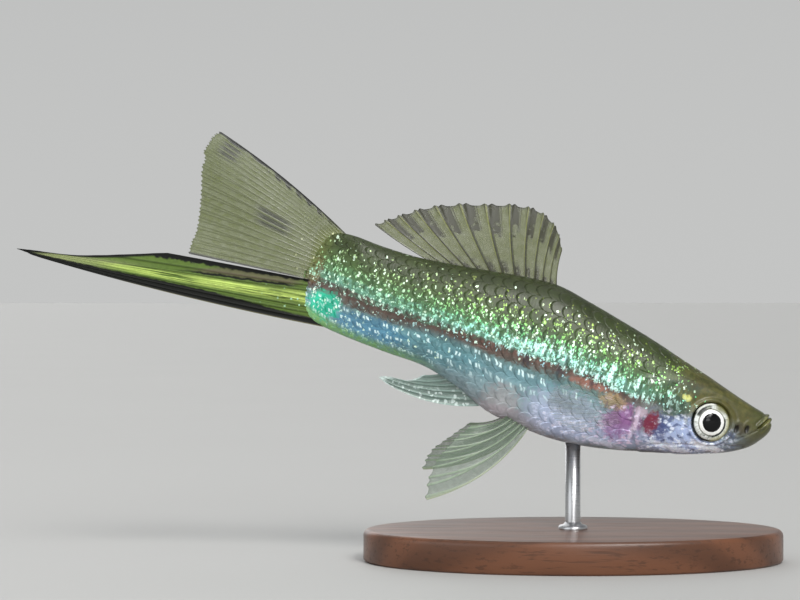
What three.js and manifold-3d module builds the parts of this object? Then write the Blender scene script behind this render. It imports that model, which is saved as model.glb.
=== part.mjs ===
// A male green swordtail, as a still, life-size model on a plain display stand.
//
// Millimetres, +Z up. The origin is the middle of the stand's underside. The fish points
// along +X with its nose down, and its right side faces -Y.
//
// The fish is drawn in a frame of its own and then tilted as one group. In that frame a
// point is named by its station, the distance behind the snout, its height above the
// body's axis, and its side, which is positive on the fish's left.

import * as THREE from "three";
import { mergeVertices } from "three/addons/utils/BufferGeometryUtils.js";
import Module from "manifold-3d";

const wasm = await Module();
wasm.setup();

// Pose and stand
const NOSE_DOWN = THREE.MathUtils.degToRad(18);
const GAP = 0.3;
const BASE_LENGTH = 66;
const BASE_WIDTH = 40;
const BASE_HEIGHT = 5;
const BASE_CHAMFER = 0.8;
const FIN_CLEARANCE = 5;
const ROD_RADIUS = 1.2;
const ROD_SOCKET_DEPTH = 3;
const ROD_STATION = 28.6;

// Tools of the construction: vertices nearer than WELD are one, a section less tall than
// POINT_SIZE is a pole, and a disc CUT_WIDTH wide cuts right through the fish
const WELD = 1e-4;
const POINT_SIZE = 1e-6;
const CUT_WIDTH = 40;

// Body sections, from the snout to the end of the tail stalk. A section leans from its
// point on the back to its point on the belly, each a station and a height. half is its
// half width, level where that is reached, from 0 at the belly to 1 at the back, and
// full how square the upper and lower parts are, where 2 is an ellipse.
const BODY = [
  { back: [-0.15, 0.3], belly: [-0.15, 0.3], half: 0.0, level: 0.5, full: [2.4, 2.2] },
  { back: [0.5, 0.8], belly: [-0.5, -0.5], half: 1.3, level: 0.5, full: [2.4, 2.2] },
  { back: [1.6, 1.05], belly: [-0.5, -1.6], half: 2.0, level: 0.5, full: [2.5, 2.2] },
  { back: [3.3, 1.45], belly: [0.3, -3.1], half: 2.6, level: 0.52, full: [2.6, 2.1] },
  { back: [5.7, 2.1], belly: [2.1, -5.1], half: 3.2, level: 0.55, full: [2.7, 2.1] },
  { back: [8.7, 3.0], belly: [5.6, -7.1], half: 3.9, level: 0.55, full: [2.7, 2.1] },
  { back: [12.3, 4.1], belly: [10.8, -9.0], half: 4.6, level: 0.54, full: [2.5, 2.1] },
  { back: [16.5, 5.3], belly: [16.0, -10.4], half: 5.2, level: 0.53, full: [2.3, 2.1] },
  { back: [21.5, 6.7], belly: [21.0, -11.8], half: 5.5, level: 0.52, full: [2.2, 2.1] },
  { back: [27.0, 8.0], belly: [26.5, -12.9], half: 5.8, level: 0.5, full: [2.1, 2.1] },
  { back: [32.5, 9.2], belly: [32.0, -13.4], half: 5.9, level: 0.5, full: [2.1, 2.1] },
  { back: [38.0, 10.2], belly: [37.3, -13.1], half: 5.8, level: 0.5, full: [2.1, 2.0] },
  { back: [43.5, 9.9], belly: [42.8, -12.4], half: 5.5, level: 0.5, full: [2.0, 2.0] },
  { back: [49.0, 9.1], belly: [48.7, -10.1], half: 5.0, level: 0.5, full: [2.0, 2.0] },
  { back: [54.5, 8.3], belly: [54.5, -8.7], half: 4.4, level: 0.5, full: [2.0, 2.0] },
  { back: [60.5, 7.6], belly: [60.5, -8.5], half: 3.7, level: 0.5, full: [2.0, 2.0] },
  { back: [66.5, 7.5], belly: [66.5, -8.2], half: 2.9, level: 0.5, full: [2.0, 2.0] },
  { back: [71.4, 7.7], belly: [71.4, -7.7], half: 2.1, level: 0.5, full: [2.1, 2.1] },
  { back: [74.5, 7.0], belly: [74.5, -6.8], half: 1.4, level: 0.5, full: [2.3, 2.3] },
  { back: [76.0, 4.8], belly: [76.0, -4.9], half: 0.9, level: 0.5, full: [2.3, 2.3] },
  { back: [76.7, 0.0], belly: [76.7, 0.0], half: 0.0, level: 0.5, full: [2.2, 2.2] },
];
const HEAD_END = 8.7;
const TRUNK_START = 6.2;
const STALK_STATION = 58;

// Head features: [station, height] and sizes. A lip is the right half of its rod, from the
// corner of the mouth to the middle, each point a place and a side.
const EYE = { at: [9.2, -3.0], sunk: 0.75, radius: 3.05, depth: 1.6 };
const GILL = { at: [10.0, -3.0], radius: 11.5, lift: 0.45, top: 2.4, bottom: -9.6 };
const CHEEK = { radius: 7.6, depth: 0.3, width: 0.5 };
const ORBIT = { radius: 3.9, lift: 0.25, width: 0.5 };
const MOUTH = { tip: [-0.1, 1.1], corner: [1.8, -1.85], gap: 0.32, width: 9 };
const LIP_RADIUS = 0.36;
const UPPER_LIP = [
  [[2.0, -1.75], -2.15],
  [[1.05, -0.35], -1.65],
  [[0.35, 0.62], -0.75],
  [[0.2, 0.85], 0],
];
const LOWER_LIP = [
  [[1.6, -2.15], -2.15],
  [[0.45, -1.0], -1.75],
  [[-0.25, 0.0], -0.8],
  [[-0.35, 0.2], 0],
];
const NOSTRILS = [
  [5.0, -2.8],
  [3.4, -2.3],
];
const NOSTRIL_RADII = [0.32, 0.5, 0.7];
const PECTORAL = { at: [21.0, -5.4], sunk: 0.9 };

// Fin thicknesses, measured through the fin
const MEMBRANE = 0.5;
const MEMBRANE_ROOT = 0.62;
const MEMBRANE_TIP = 0.34;
const RAY_RIDGE = 0.19;
const RAY_SHARE = 0.24;
const RAY_TAPER = 0.45;
const SCALLOP = 0.035;
const LEFT_PELVIC_SWING = 1.6;
const SWORD_SHOULDER_DROP = 0.75;

const COLOURS = {
  back: 0x5c6238,
  flank: 0x6fa590,
  stalk: 0x5d8f8c,
  fin: 0x8a9460,
  sword: 0x93a63c,
  eye: 0xd9dcd4,
  wood: 0x4a3326,
  steel: 0xb9bcc0,
};

function onFish([station, height], side = 0) {
  return new THREE.Vector3(-station, side, height);
}

// Solids: three.js geometry to manifold-3d and back

function solidOf(geometry) {
  const bare = geometry.clone();
  for (const name of Object.keys(bare.attributes)) {
    if (name !== "position") bare.deleteAttribute(name);
  }
  const merged = mergeVertices(bare, WELD);
  return new wasm.Manifold(
    new wasm.Mesh({
      numProp: 3,
      vertProperties: new Float32Array(merged.attributes.position.array),
      triVerts: new Uint32Array(merged.index.array),
    }),
  );
}

function geometryOf(solid) {
  const mesh = solid.getMesh();
  const geometry = new THREE.BufferGeometry();
  geometry.setAttribute("position", new THREE.BufferAttribute(mesh.vertProperties, 3));
  geometry.setIndex(new THREE.BufferAttribute(mesh.triVerts, 1));
  geometry.computeVertexNormals();
  return geometry;
}

function largestOf(solid) {
  const pieces = solid.decompose();
  return pieces.reduce((best, piece) => (piece.volume() > best.volume() ? piece : best));
}

function meshOf(name, solid, colour, roughness = 0.4, metalness = 0) {
  const material = new THREE.MeshStandardMaterial({ color: colour, roughness, metalness });
  const mesh = new THREE.Mesh(geometryOf(largestOf(solid)), material);
  mesh.name = name;
  return mesh;
}

// A closed grid of rings: points[ring][place]. A ring of one point is a pole, and an open
// end is closed by a fan round its middle.
function closedLoft(rings) {
  const positions = [];
  const index = [];
  const starts = rings.map((ring) => {
    const start = positions.length / 3;
    ring.forEach((point) => positions.push(point.x, point.y, point.z));
    return start;
  });
  const around = Math.max(...rings.map((ring) => ring.length));
  for (let r = 0; r + 1 < rings.length; r++) {
    for (let k = 0; k < around; k++) {
      const next = (k + 1) % around;
      const [a, b] = rings[r].length === 1 ? [0, 0] : [k, next];
      const [c, d] = rings[r + 1].length === 1 ? [0, 0] : [k, next];
      if (a !== b) index.push(starts[r] + a, starts[r] + b, starts[r + 1] + c);
      if (c !== d) index.push(starts[r] + b, starts[r + 1] + d, starts[r + 1] + c);
    }
  }
  for (const [r, turned] of [[0, true], [rings.length - 1, false]]) {
    if (rings[r].length === 1) continue;
    const middle = new THREE.Vector3();
    rings[r].forEach((point) => middle.add(point));
    middle.divideScalar(around);
    const centre = positions.length / 3;
    positions.push(middle.x, middle.y, middle.z);
    for (let k = 0; k < around; k++) {
      const pair = [starts[r] + k, starts[r] + ((k + 1) % around)];
      if (turned) pair.reverse();
      index.push(centre, ...pair);
    }
  }
  const geometry = new THREE.BufferGeometry();
  geometry.setAttribute("position", new THREE.Float32BufferAttribute(positions, 3));
  geometry.setIndex(index);
  return geometry;
}

// Body surface

function smoothstep(low, high, value) {
  return THREE.MathUtils.smoothstep(value, low, high);
}

function bell(value, width) {
  return Math.exp(-((value / width) ** 2));
}

// A smooth curve through the rows of BODY: read picks a number from a row, and u counts rows.
function alongBody(read, u) {
  const last = BODY.length - 1;
  const row = Math.min(Math.floor(u), last - 1);
  const t = u - row;
  const [p0, p1, p2, p3] = [-1, 0, 1, 2].map((step) =>
    read(BODY[THREE.MathUtils.clamp(row + step, 0, last)]),
  );
  const slope1 = (p2 - p0) / 2;
  const slope2 = (p3 - p1) / 2;
  return (
    p1 +
    slope1 * t +
    (3 * (p2 - p1) - 2 * slope1 - slope2) * t * t +
    (2 * (p1 - p2) + slope1 + slope2) * t * t * t
  );
}

// How far the side of the head stands out past the plain body: the rear of the gill
// cover, a crease in front of it, and a low rim round the eye.
function headRelief(station, height) {
  const fromGill = Math.hypot(station - GILL.at[0], height - GILL.at[1]);
  const fromEye = Math.hypot(station - EYE.at[0], height - EYE.at[1]);
  const level =
    smoothstep(GILL.top, GILL.top - 2, height) * smoothstep(GILL.bottom - 1, GILL.bottom + 1, height);
  const behind = smoothstep(EYE.at[0] - 1, EYE.at[0] + 3, station);
  const cover = GILL.lift * smoothstep(CHEEK.radius, GILL.radius, fromGill) * level;
  const crease = -CHEEK.depth * bell(fromGill - CHEEK.radius, CHEEK.width) * level * behind;
  const rim = ORBIT.lift * bell(fromEye - ORBIT.radius, ORBIT.width);
  return cover + crease + rim;
}

function noRelief() {
  return 0;
}

// One section of the body: around points, starting at the back. grow widens it all round.
function section(u, around, grow, relief) {
  const back = new THREE.Vector2(
    alongBody((row) => row.back[0], u),
    alongBody((row) => row.back[1], u),
  );
  const belly = new THREE.Vector2(
    alongBody((row) => row.belly[0], u),
    alongBody((row) => row.belly[1], u),
  );
  const half = alongBody((row) => row.half, u);
  const level = alongBody((row) => row.level, u);
  const full = [0, 1].map((part) => alongBody((row) => row.full[part], u));
  const tall = back.distanceTo(belly);
  if (tall < POINT_SIZE) return [onFish([back.x, back.y])];
  const upwards = back.clone().sub(belly).divideScalar(tall);
  const widest = belly.clone().addScaledVector(upwards, level * tall);
  return Array.from({ length: around }, (_, k) => {
    const turn = (2 * Math.PI * k) / around;
    const [sine, cosine] = [Math.sin(turn), Math.cos(turn)];
    const power = 2 / (cosine >= 0 ? full[0] : full[1]);
    const reach = (cosine >= 0 ? 1 - level : level) * tall + grow;
    const rise = reach * Math.sign(cosine) * Math.abs(cosine) ** power;
    const place = widest.clone().addScaledVector(upwards, rise);
    const out = Math.abs(sine) ** power;
    const side = out * (half + grow + relief(place.x, place.y));
    return onFish([place.x, place.y], side * Math.sign(sine));
  });
}

function bodyLoft({ from, to, rings, around, grow = 0, relief = noRelief, crowd = 1 }) {
  const places = Array.from({ length: rings + 1 }, (_, r) => from + (to - from) * (r / rings) ** crowd);
  return solidOf(closedLoft(places.map((u) => section(u, around, grow, relief))));
}

// The row count at which the body reaches a station, on the stretch where sections stand upright
function rowAtStation(station) {
  const row = BODY.findIndex((entry) => entry.back[0] > station) - 1;
  const [before, after] = [BODY[row].back[0], BODY[row + 1].back[0]];
  let u = row + (station - before) / (after - before);
  for (let pass = 0; pass < 8; pass++) {
    u -= (alongBody((entry) => entry.back[0], u) - station) / (after - before);
  }
  return u;
}

// How far out the body's side is at a station and height, from the nearest surface point
function sideAt([station, height], relief = headRelief) {
  const best = { distance: Infinity, side: 0 };
  for (let u = 0.5; u < BODY.length - 1; u += 0.05) {
    for (const point of section(u, 96, 0, relief)) {
      const distance = Math.hypot(-point.x - station, point.z - height);
      if (point.y > 0 && distance < best.distance) Object.assign(best, { distance, side: point.y });
    }
  }
  return best.side;
}

const eyeSide = sideAt(EYE.at, noRelief) - EYE.sunk;
const pectoralSide = sideAt(PECTORAL.at, noRelief) - PECTORAL.sunk;

// Simple solids set in the fish frame

function crossDisc([station, height], radius) {
  const disc = new THREE.CylinderGeometry(radius, radius, CUT_WIDTH, 64);
  disc.translate(-station, 0, height);
  return solidOf(disc);
}

function ellipsoid(at, side, radii, turns, rings) {
  const ball = new THREE.SphereGeometry(1, turns, rings);
  ball.scale(...radii);
  const place = onFish(at, side);
  ball.translate(place.x, place.y, place.z);
  return solidOf(ball);
}

// A round rod that follows points in the fish frame, for a lip
function lipRod(points, radius) {
  const circle = new THREE.Shape().absarc(0, 0, radius, 0, 2 * Math.PI);
  const path = new THREE.CatmullRomCurve3(points);
  return solidOf(
    new THREE.ExtrudeGeometry(circle, { extrudePath: path, steps: 12, curveSegments: 2 }),
  );
}

// The head: body surface with its relief, cut at the gill opening, with eye sockets,
// the slit of the mouth between two lips, and the nostrils.

function buildHead() {
  let head = bodyLoft({ from: 0, to: HEAD_END, rings: 26, around: 36, relief: headRelief, crowd: 1.25 });
  head = head.intersect(crossDisc(GILL.at, GILL.radius - GAP / 2));
  for (const way of [-1, 1]) {
    const socket = [EYE.radius + GAP, EYE.depth + GAP, EYE.radius + GAP];
    head = head.subtract(ellipsoid(EYE.at, way * eyeSide, socket, 24, 14));
    for (const nostril of NOSTRILS) {
      const pit = ellipsoid(nostril, way * sideAt(nostril), NOSTRIL_RADII, 8, 6);
      head = head.subtract(pit);
    }
  }
  for (const lip of [UPPER_LIP, LOWER_LIP]) {
    const right = lip.map(([at, side]) => onFish(at, side));
    const left = lip.slice(0, -1).reverse().map(([at, side]) => onFish(at, -side));
    head = head.add(lipRod([...right, ...left], LIP_RADIUS));
  }
  const tip = onFish(MOUTH.tip);
  const corner = onFish(MOUTH.corner);
  const slit = new THREE.BoxGeometry(tip.distanceTo(corner), MOUTH.width, MOUTH.gap);
  slit.rotateY(-Math.atan2(tip.z - corner.z, tip.x - corner.x));
  slit.translate((tip.x + corner.x) / 2, 0, (tip.z + corner.z) / 2);
  return head.subtract(solidOf(slit));
}

// Trunk and tail stalk

const trunkEnd = rowAtStation(STALK_STATION - GAP / 2);
const stalkStart = rowAtStation(STALK_STATION + GAP / 2);
const lastRow = BODY.length - 1;

function buildTrunk() {
  const whole = bodyLoft({ from: TRUNK_START, to: trunkEnd, rings: 19, around: 36 });
  return whole.subtract(crossDisc(GILL.at, GILL.radius + GAP / 2));
}

function buildStalk() {
  return bodyLoft({ from: stalkStart, to: lastRow, rings: 12, around: 32 });
}

const bodyWithGap = bodyLoft({ from: TRUNK_START, to: lastRow, rings: 40, around: 36, grow: GAP });

// Fins

function curveThrough(points) {
  const curve = new THREE.CatmullRomCurve3(points.map(([at, side]) => onFish(at, side)));
  return (t) => curve.getPoint(t);
}

// The same for points in the fish's middle plane, each a station and a height
function curveInPlane(places) {
  return curveThrough(places.map((at) => [at, 0]));
}

// A fin runs from a root line to a tip line. Its rays are ridges on both faces, with a
// membrane between them that stops a little short of the ray tips. bow pushes the middle
// of the first and of the last ray off its straight line, and the others by their share.
// The root is cut where the body is, less a gap.
function buildFin({ rays, rows, root, tip, bow, thicker = 1, scallop = SCALLOP }) {
  const pitch = 1 / (rays - 1);
  const columns = [];
  for (let k = 0; k < rays; k++) {
    if (k > 0) columns.push({ t: (k - RAY_SHARE) * pitch, ray: false });
    columns.push({ t: k * pitch, ray: true });
    if (k < rays - 1) columns.push({ t: (k + RAY_SHARE) * pitch, ray: false });
  }
  const [firstBow, lastBow] = bow.map((push) => new THREE.Vector3(...push));
  const point = (t, v) => {
    const push = firstBow.clone().lerp(lastBow, t);
    return root(t).lerp(tip(t), v).addScaledVector(push, 4 * v * (1 - v));
  };
  const step = 1e-3;
  const normal = (t, v) => {
    const [t0, t1] = [Math.max(t - step, 0), Math.min(t + step, 1)];
    const across = point(t1, v).sub(point(t0, v));
    const along = point(t, v + step).sub(point(t, v - step));
    return across.cross(along).normalize();
  };
  const faces = [1, -1].map((way) =>
    columns.map(({ t, ray }) =>
      Array.from({ length: rows + 1 }, (_, j) => {
        const v = (j / rows) * (ray ? 1 : 1 - scallop);
        const last = j === rows;
        const film = last ? MEMBRANE_TIP : THREE.MathUtils.lerp(MEMBRANE_ROOT, MEMBRANE, Math.min(1, 2 * v));
        const ridge = ray && !last ? RAY_RIDGE * (1 - RAY_TAPER * v) : 0;
        const half = thicker * (film / 2 + ridge);
        return point(t, v).addScaledVector(normal(t, Math.min(v, 1 - step)), way * half);
      }),
    ),
  );
  return solidOf(closedPlate(...faces)).subtract(bodyWithGap);
}

// A plate between two grids of points alike in size, with the same triangles on both faces
function closedPlate(front, rear) {
  const [wide, tall] = [front.length, front[0].length];
  const positions = [...front, ...rear].flat().flatMap((point) => [point.x, point.y, point.z]);
  const index = [];
  const id = (face, i, j) => face * wide * tall + i * tall + j;
  for (let i = 0; i + 1 < wide; i++) {
    for (let j = 0; j + 1 < tall; j++) {
      const [a, b, c, d] = [[i, j], [i + 1, j], [i + 1, j + 1], [i, j + 1]];
      index.push(id(0, ...a), id(0, ...b), id(0, ...c), id(0, ...a), id(0, ...c), id(0, ...d));
      index.push(id(1, ...a), id(1, ...c), id(1, ...b), id(1, ...a), id(1, ...d), id(1, ...c));
    }
  }
  const rim = [
    ...Array.from({ length: wide - 1 }, (_, i) => [[i, 0], [i + 1, 0]]),
    ...Array.from({ length: tall - 1 }, (_, j) => [[wide - 1, j], [wide - 1, j + 1]]),
    ...Array.from({ length: wide - 1 }, (_, i) => [[wide - 1 - i, tall - 1], [wide - 2 - i, tall - 1]]),
    ...Array.from({ length: tall - 1 }, (_, j) => [[0, tall - 1 - j], [0, tall - 2 - j]]),
  ];
  for (const [from, to] of rim) {
    index.push(id(0, ...to), id(0, ...from), id(1, ...from));
    index.push(id(0, ...to), id(1, ...from), id(1, ...to));
  }
  const geometry = new THREE.BufferGeometry();
  geometry.setAttribute("position", new THREE.Float32BufferAttribute(positions, 3));
  geometry.setIndex(index);
  return geometry;
}

function dorsalFin() {
  return buildFin({
    rays: 13,
    rows: 7,
    root: curveInPlane([
      [37.9, 8.8], [43.0, 8.6], [49.5, 7.6], [55.6, 6.8],
    ]),
    tip: curveInPlane([
      [39.3, 15.6], [41.2, 18.6], [44.6, 20.5], [49.5, 19.9], [56.0, 17.9], [62.0, 15.3],
      [66.0, 12.6], [68.9, 10.3],
    ]),
    bow: [[0.35, 0, -0.25], [0.35, 0, -0.25]],
  });
}

// The sword's upper border and the caudal fin's lower border run side by side.
const SWORD_ROOT_TOP = [74.2, -1.0];
const SWORD_SPLIT = [95.2, -3.2];

function caudalFin() {
  return buildFin({
    rays: 15,
    rows: 6,
    scallop: 0.02,
    root: curveInPlane([
      [71.6, 7.0], [74.0, 5.6], [74.6, 2.5], [SWORD_ROOT_TOP[0], SWORD_ROOT_TOP[1] + GAP / 2],
    ]),
    tip: curveInPlane([
      [96.4, 16.7], [97.8, 14.2], [97.3, 10.5], [96.2, 5.5], [95.2, 0.8],
      [SWORD_SPLIT[0], SWORD_SPLIT[1] + GAP / 2],
    ]),
    bow: [[0, 0, 0.75], [0, 0, 0]],
  });
}

function sword() {
  return buildFin({
    rays: 6,
    rows: 12,
    root: curveInPlane([
      [SWORD_ROOT_TOP[0], SWORD_ROOT_TOP[1] - GAP / 2], [74.0, -3.2], [73.2, -5.4], [71.4, -7.6],
    ]),
    tip: curveInPlane([
      [98.4, SWORD_SPLIT[1] - GAP / 2 - SWORD_SHOULDER_DROP], [112.0, -8.9], [119.6, -10.4], [121.0, -10.75],
      [119.4, -10.95], [117.0, -11.0],
    ]),
    bow: [[0, 0, 0.05], [0, 0, -0.55]],
    thicker: 1.15,
  });
}

function gonopodium() {
  return buildFin({
    rays: 5,
    rows: 8,
    root: curveInPlane([
      [43.8, -11.7], [46.4, -10.4], [48.6, -9.3], [50.4, -8.2],
    ]),
    tip: curveInPlane([
      [59.6, -12.9], [60.6, -12.4], [59.6, -11.9], [56.0, -11.4], [54.0, -9.9],
    ]),
    bow: [[0, 0, -1.3], [0, 0, -0.2]],
    thicker: 1.5,
  });
}

// Paired fins, built for one side: way is 1 on the fish's left and -1 on its right

const PELVIC_TIP = [48.0, -28.2];

function pelvicFin(way, swing) {
  return buildFin({
    rays: 6,
    rows: 8,
    root: curveThrough([
      [[35.6, -12.2], way * 1.1],
      [[37.2, -11.8], way * 1.3],
      [[39.2, -11.3], way * 1.5],
    ]),
    tip: curveThrough([
      [[PELVIC_TIP[0] + swing, PELVIC_TIP[1] + 2.2 * swing], way * 6.2],
      [[48.4 + 0.4 * swing, -23.2 + 1.2 * swing], way * 5.4],
      [[47.2, -19.2 + 0.6 * swing], way * 4.4],
      [[44.6, -15.0], way * 3.2],
    ]),
    bow: [[1.5, way * 0.5, -1.2], [0.5, way * 0.5, -0.4]],
  });
}

function pectoralFin(way) {
  const [station, height] = PECTORAL.at;
  const place = (behind, above, out) => [[station + behind, height + above], way * (pectoralSide + out)];
  return buildFin({
    rays: 10,
    rows: 5,
    root: curveThrough([place(0.6, 1.4, 0), place(0.9, 0, 0), place(0.8, -1.5, -0.2)]),
    tip: curveThrough([
      place(11, 1.8, 4.4),
      place(13.8, -0.2, 5.2),
      place(13.6, -3, 5.1),
      place(10.6, -5, 4.2),
      place(7.4, -5.2, 3.4),
    ]),
    bow: [[0, way * 0.5, 0], [0, way * 0.5, 0]],
  });
}

// Places of the fish over its stand: the lowest fin tip clears the base by FIN_CLEARANCE

function tilted([station, height]) {
  return onFish([station, height]).applyAxisAngle(new THREE.Vector3(0, 1, 0), NOSE_DOWN);
}

const rodTop = tilted([ROD_STATION, -12]);
const lift = BASE_HEIGHT + FIN_CLEARANCE - tilted(PELVIC_TIP).z;

const fish = new THREE.Group();
fish.rotation.y = NOSE_DOWN;
fish.position.set(-rodTop.x, 0, lift);

fish.add(meshOf("head", buildHead(), COLOURS.back));
fish.add(meshOf("trunk", buildTrunk(), COLOURS.flank));
fish.add(meshOf("tail_stalk", buildStalk(), COLOURS.stalk));
fish.add(meshOf("dorsal_fin", dorsalFin(), COLOURS.fin));
fish.add(meshOf("caudal_fin", caudalFin(), COLOURS.fin));
fish.add(meshOf("sword", sword(), COLOURS.sword));
fish.add(meshOf("gonopodium", gonopodium(), COLOURS.fin));
fish.add(meshOf("pelvic_fin_right", pelvicFin(-1, 0), COLOURS.fin));
fish.add(meshOf("pelvic_fin_left", pelvicFin(1, LEFT_PELVIC_SWING), COLOURS.fin));

for (const [side, way] of [["left", 1], ["right", -1]]) {
  fish.add(meshOf(`pectoral_fin_${side}`, pectoralFin(way), COLOURS.fin));
  const ball = ellipsoid(EYE.at, way * eyeSide, [EYE.radius, EYE.depth, EYE.radius], 24, 12);
  fish.add(meshOf(`eye_${side}`, ball, COLOURS.eye, 0.08));
}

// Stand: an oval wooden base with a chamfered rim, and one steel rod that ends under the belly

function standBase() {
  const radius = BASE_LENGTH / 2;
  const profile = [
    [0, 0],
    [radius - BASE_CHAMFER / 2, 0],
    [radius, BASE_CHAMFER / 2],
    [radius, BASE_HEIGHT - BASE_CHAMFER],
    [radius - BASE_CHAMFER, BASE_HEIGHT],
    [0, BASE_HEIGHT],
  ].map(([x, y]) => new THREE.Vector2(x, y));
  const disc = new THREE.LatheGeometry(profile, 48);
  disc.rotateX(Math.PI / 2);
  disc.scale(1, BASE_WIDTH / BASE_LENGTH, 1);
  const socketRadius = ROD_RADIUS + GAP;
  const socket = new THREE.CylinderGeometry(socketRadius, socketRadius, 2 * ROD_SOCKET_DEPTH, 20);
  socket.rotateX(Math.PI / 2);
  socket.translate(0, 0, BASE_HEIGHT);
  return solidOf(disc).subtract(solidOf(socket));
}

function standRod() {
  const bottom = BASE_HEIGHT - ROD_SOCKET_DEPTH + GAP;
  const top = rodTop.z + lift;
  const rod = new THREE.CylinderGeometry(ROD_RADIUS, ROD_RADIUS, top - bottom, 20);
  rod.rotateX(Math.PI / 2);
  rod.translate(0, 0, (top + bottom) / 2);
  fish.updateMatrix();
  const placed = bodyWithGap.transform(fish.matrix.elements);
  const cut = solidOf(rod).subtract(placed);
  return cut.decompose().sort((a, b) => a.boundingBox().min[2] - b.boundingBox().min[2])[0];
}

const model = new THREE.Group();
model.add(fish);
model.add(meshOf("stand_base", standBase(), COLOURS.wood, 0.5));
model.add(meshOf("stand_rod", standRod(), COLOURS.steel, 0.3, 1));

export default model;
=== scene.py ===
"""A male green swordtail, dressed as a life-size display model.

The fish is drawn in a frame of its own, in millimetres: a station is the distance behind
the snout, a height is measured above the body's axis, and a side is positive on the
fish's left. to_part tilts that frame nose down and carries it to the display stand.
"""

from functools import cache

import bpy
import numpy as np
from bpy.props import FloatProperty, FloatVectorProperty, IntProperty, PointerProperty
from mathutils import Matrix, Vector


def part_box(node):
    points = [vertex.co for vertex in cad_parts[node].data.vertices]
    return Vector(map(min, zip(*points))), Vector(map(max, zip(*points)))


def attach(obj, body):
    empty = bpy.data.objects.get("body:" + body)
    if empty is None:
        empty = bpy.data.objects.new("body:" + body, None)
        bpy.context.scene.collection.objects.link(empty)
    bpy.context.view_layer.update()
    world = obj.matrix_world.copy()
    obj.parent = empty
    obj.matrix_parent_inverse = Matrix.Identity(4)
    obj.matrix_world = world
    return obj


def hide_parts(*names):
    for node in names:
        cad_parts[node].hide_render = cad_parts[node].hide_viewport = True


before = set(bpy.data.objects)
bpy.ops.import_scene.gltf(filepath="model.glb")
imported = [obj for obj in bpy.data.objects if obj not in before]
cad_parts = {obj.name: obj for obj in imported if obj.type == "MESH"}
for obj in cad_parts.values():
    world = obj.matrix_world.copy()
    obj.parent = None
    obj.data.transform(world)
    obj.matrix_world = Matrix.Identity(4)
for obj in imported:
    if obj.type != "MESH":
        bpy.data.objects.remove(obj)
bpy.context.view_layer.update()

bl_info = {
    "name": "Swordtail display model",
    "version": (1, 0, 0),
    "blender": (4, 5, 0),
    "location": "3D View > Sidebar > Swordtail",
    "description": "Builds the skin, scales, eyes, fins and stand of a male green swordtail",
    "category": "Add Mesh",
}

BODY_NAME = "root"
MM = 0.001
SEED = 7

# Pose and stand, in millimetres
NOSE_DOWN = np.radians(18.0)
ROD_FOOT = (28.6, -12.0)
PELVIC_TIP = (48.0, -28.2)
BASE_HEIGHT = 5.0
FIN_CLEARANCE = 5.0

# Body sections: back station and height, belly station and height, half width, level of
# the widest point, and fullness above and below it
BODY = np.array([
    (-0.15, 0.3, -0.15, 0.3, 0.0, 0.5, 2.4, 2.2),
    (0.5, 0.8, -0.5, -0.5, 1.3, 0.5, 2.4, 2.2),
    (1.6, 1.05, -0.5, -1.6, 2.0, 0.5, 2.5, 2.2),
    (3.3, 1.45, 0.3, -3.1, 2.6, 0.52, 2.6, 2.1),
    (5.7, 2.1, 2.1, -5.1, 3.2, 0.55, 2.7, 2.1),
    (8.7, 3.0, 5.6, -7.1, 3.9, 0.55, 2.7, 2.1),
    (12.3, 4.1, 10.8, -9.0, 4.6, 0.54, 2.5, 2.1),
    (16.5, 5.3, 16.0, -10.4, 5.2, 0.53, 2.3, 2.1),
    (21.5, 6.7, 21.0, -11.8, 5.5, 0.52, 2.2, 2.1),
    (27.0, 8.0, 26.5, -12.9, 5.8, 0.5, 2.1, 2.1),
    (32.5, 9.2, 32.0, -13.4, 5.9, 0.5, 2.1, 2.1),
    (38.0, 10.2, 37.3, -13.1, 5.8, 0.5, 2.1, 2.0),
    (43.5, 9.9, 42.8, -12.4, 5.5, 0.5, 2.0, 2.0),
    (49.0, 9.1, 48.7, -10.1, 5.0, 0.5, 2.0, 2.0),
    (54.5, 8.3, 54.5, -8.7, 4.4, 0.5, 2.0, 2.0),
    (60.5, 7.6, 60.5, -8.5, 3.7, 0.5, 2.0, 2.0),
    (66.5, 7.5, 66.5, -8.2, 2.9, 0.5, 2.0, 2.0),
    (71.4, 7.7, 71.4, -7.7, 2.1, 0.5, 2.1, 2.1),
    (74.5, 7.0, 74.5, -6.8, 1.4, 0.5, 2.3, 2.3),
    (76.0, 4.8, 76.0, -4.9, 0.9, 0.5, 2.3, 2.3),
    (76.7, 0.0, 76.7, 0.0, 0.0, 0.5, 2.2, 2.2),
])
LAST_ROW = len(BODY) - 1

# Head features: station and height, and sizes, in millimetres. The lines have two ends,
# a lift and a width
EYE_AT = np.array([9.2, -3.0])
EYE_SUNK = 0.75
EYE_RADIUS = 3.05
EYE_DEPTH = 1.6
EYE_LEAN = 0.2
PUPIL_RADIUS = 1.45
GILL_AT = np.array([10.0, -3.0])
GILL_RADIUS = 11.5
MOUTH_TIP = np.array([-0.1, 1.1])
MOUTH_CORNER = np.array([1.8, -1.85])
NOSTRILS = ((5.0, -2.8), (3.4, -2.3))
JAW_LINE = ((1.7, -2.0), (4.4, -4.4), -0.17, 0.16)
THROAT_LINE = ((3.0, -5.15), (17.5, -9.3), -0.14, 0.18)
PECTORAL_AT = np.array([21.0, -5.4])
PECTORAL_SUNK = 0.9


def tilted(station, height):
    """The part-frame x and z of a fish point about an origin at the snout, in mm."""
    cosine, sine = np.cos(NOSE_DOWN), np.sin(NOSE_DOWN)
    return -station * cosine + height * sine, station * sine + height * cosine


FISH_ORIGIN = (-tilted(*ROD_FOOT)[0], 0.0, BASE_HEIGHT + FIN_CLEARANCE - tilted(*PELVIC_TIP)[1])


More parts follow.
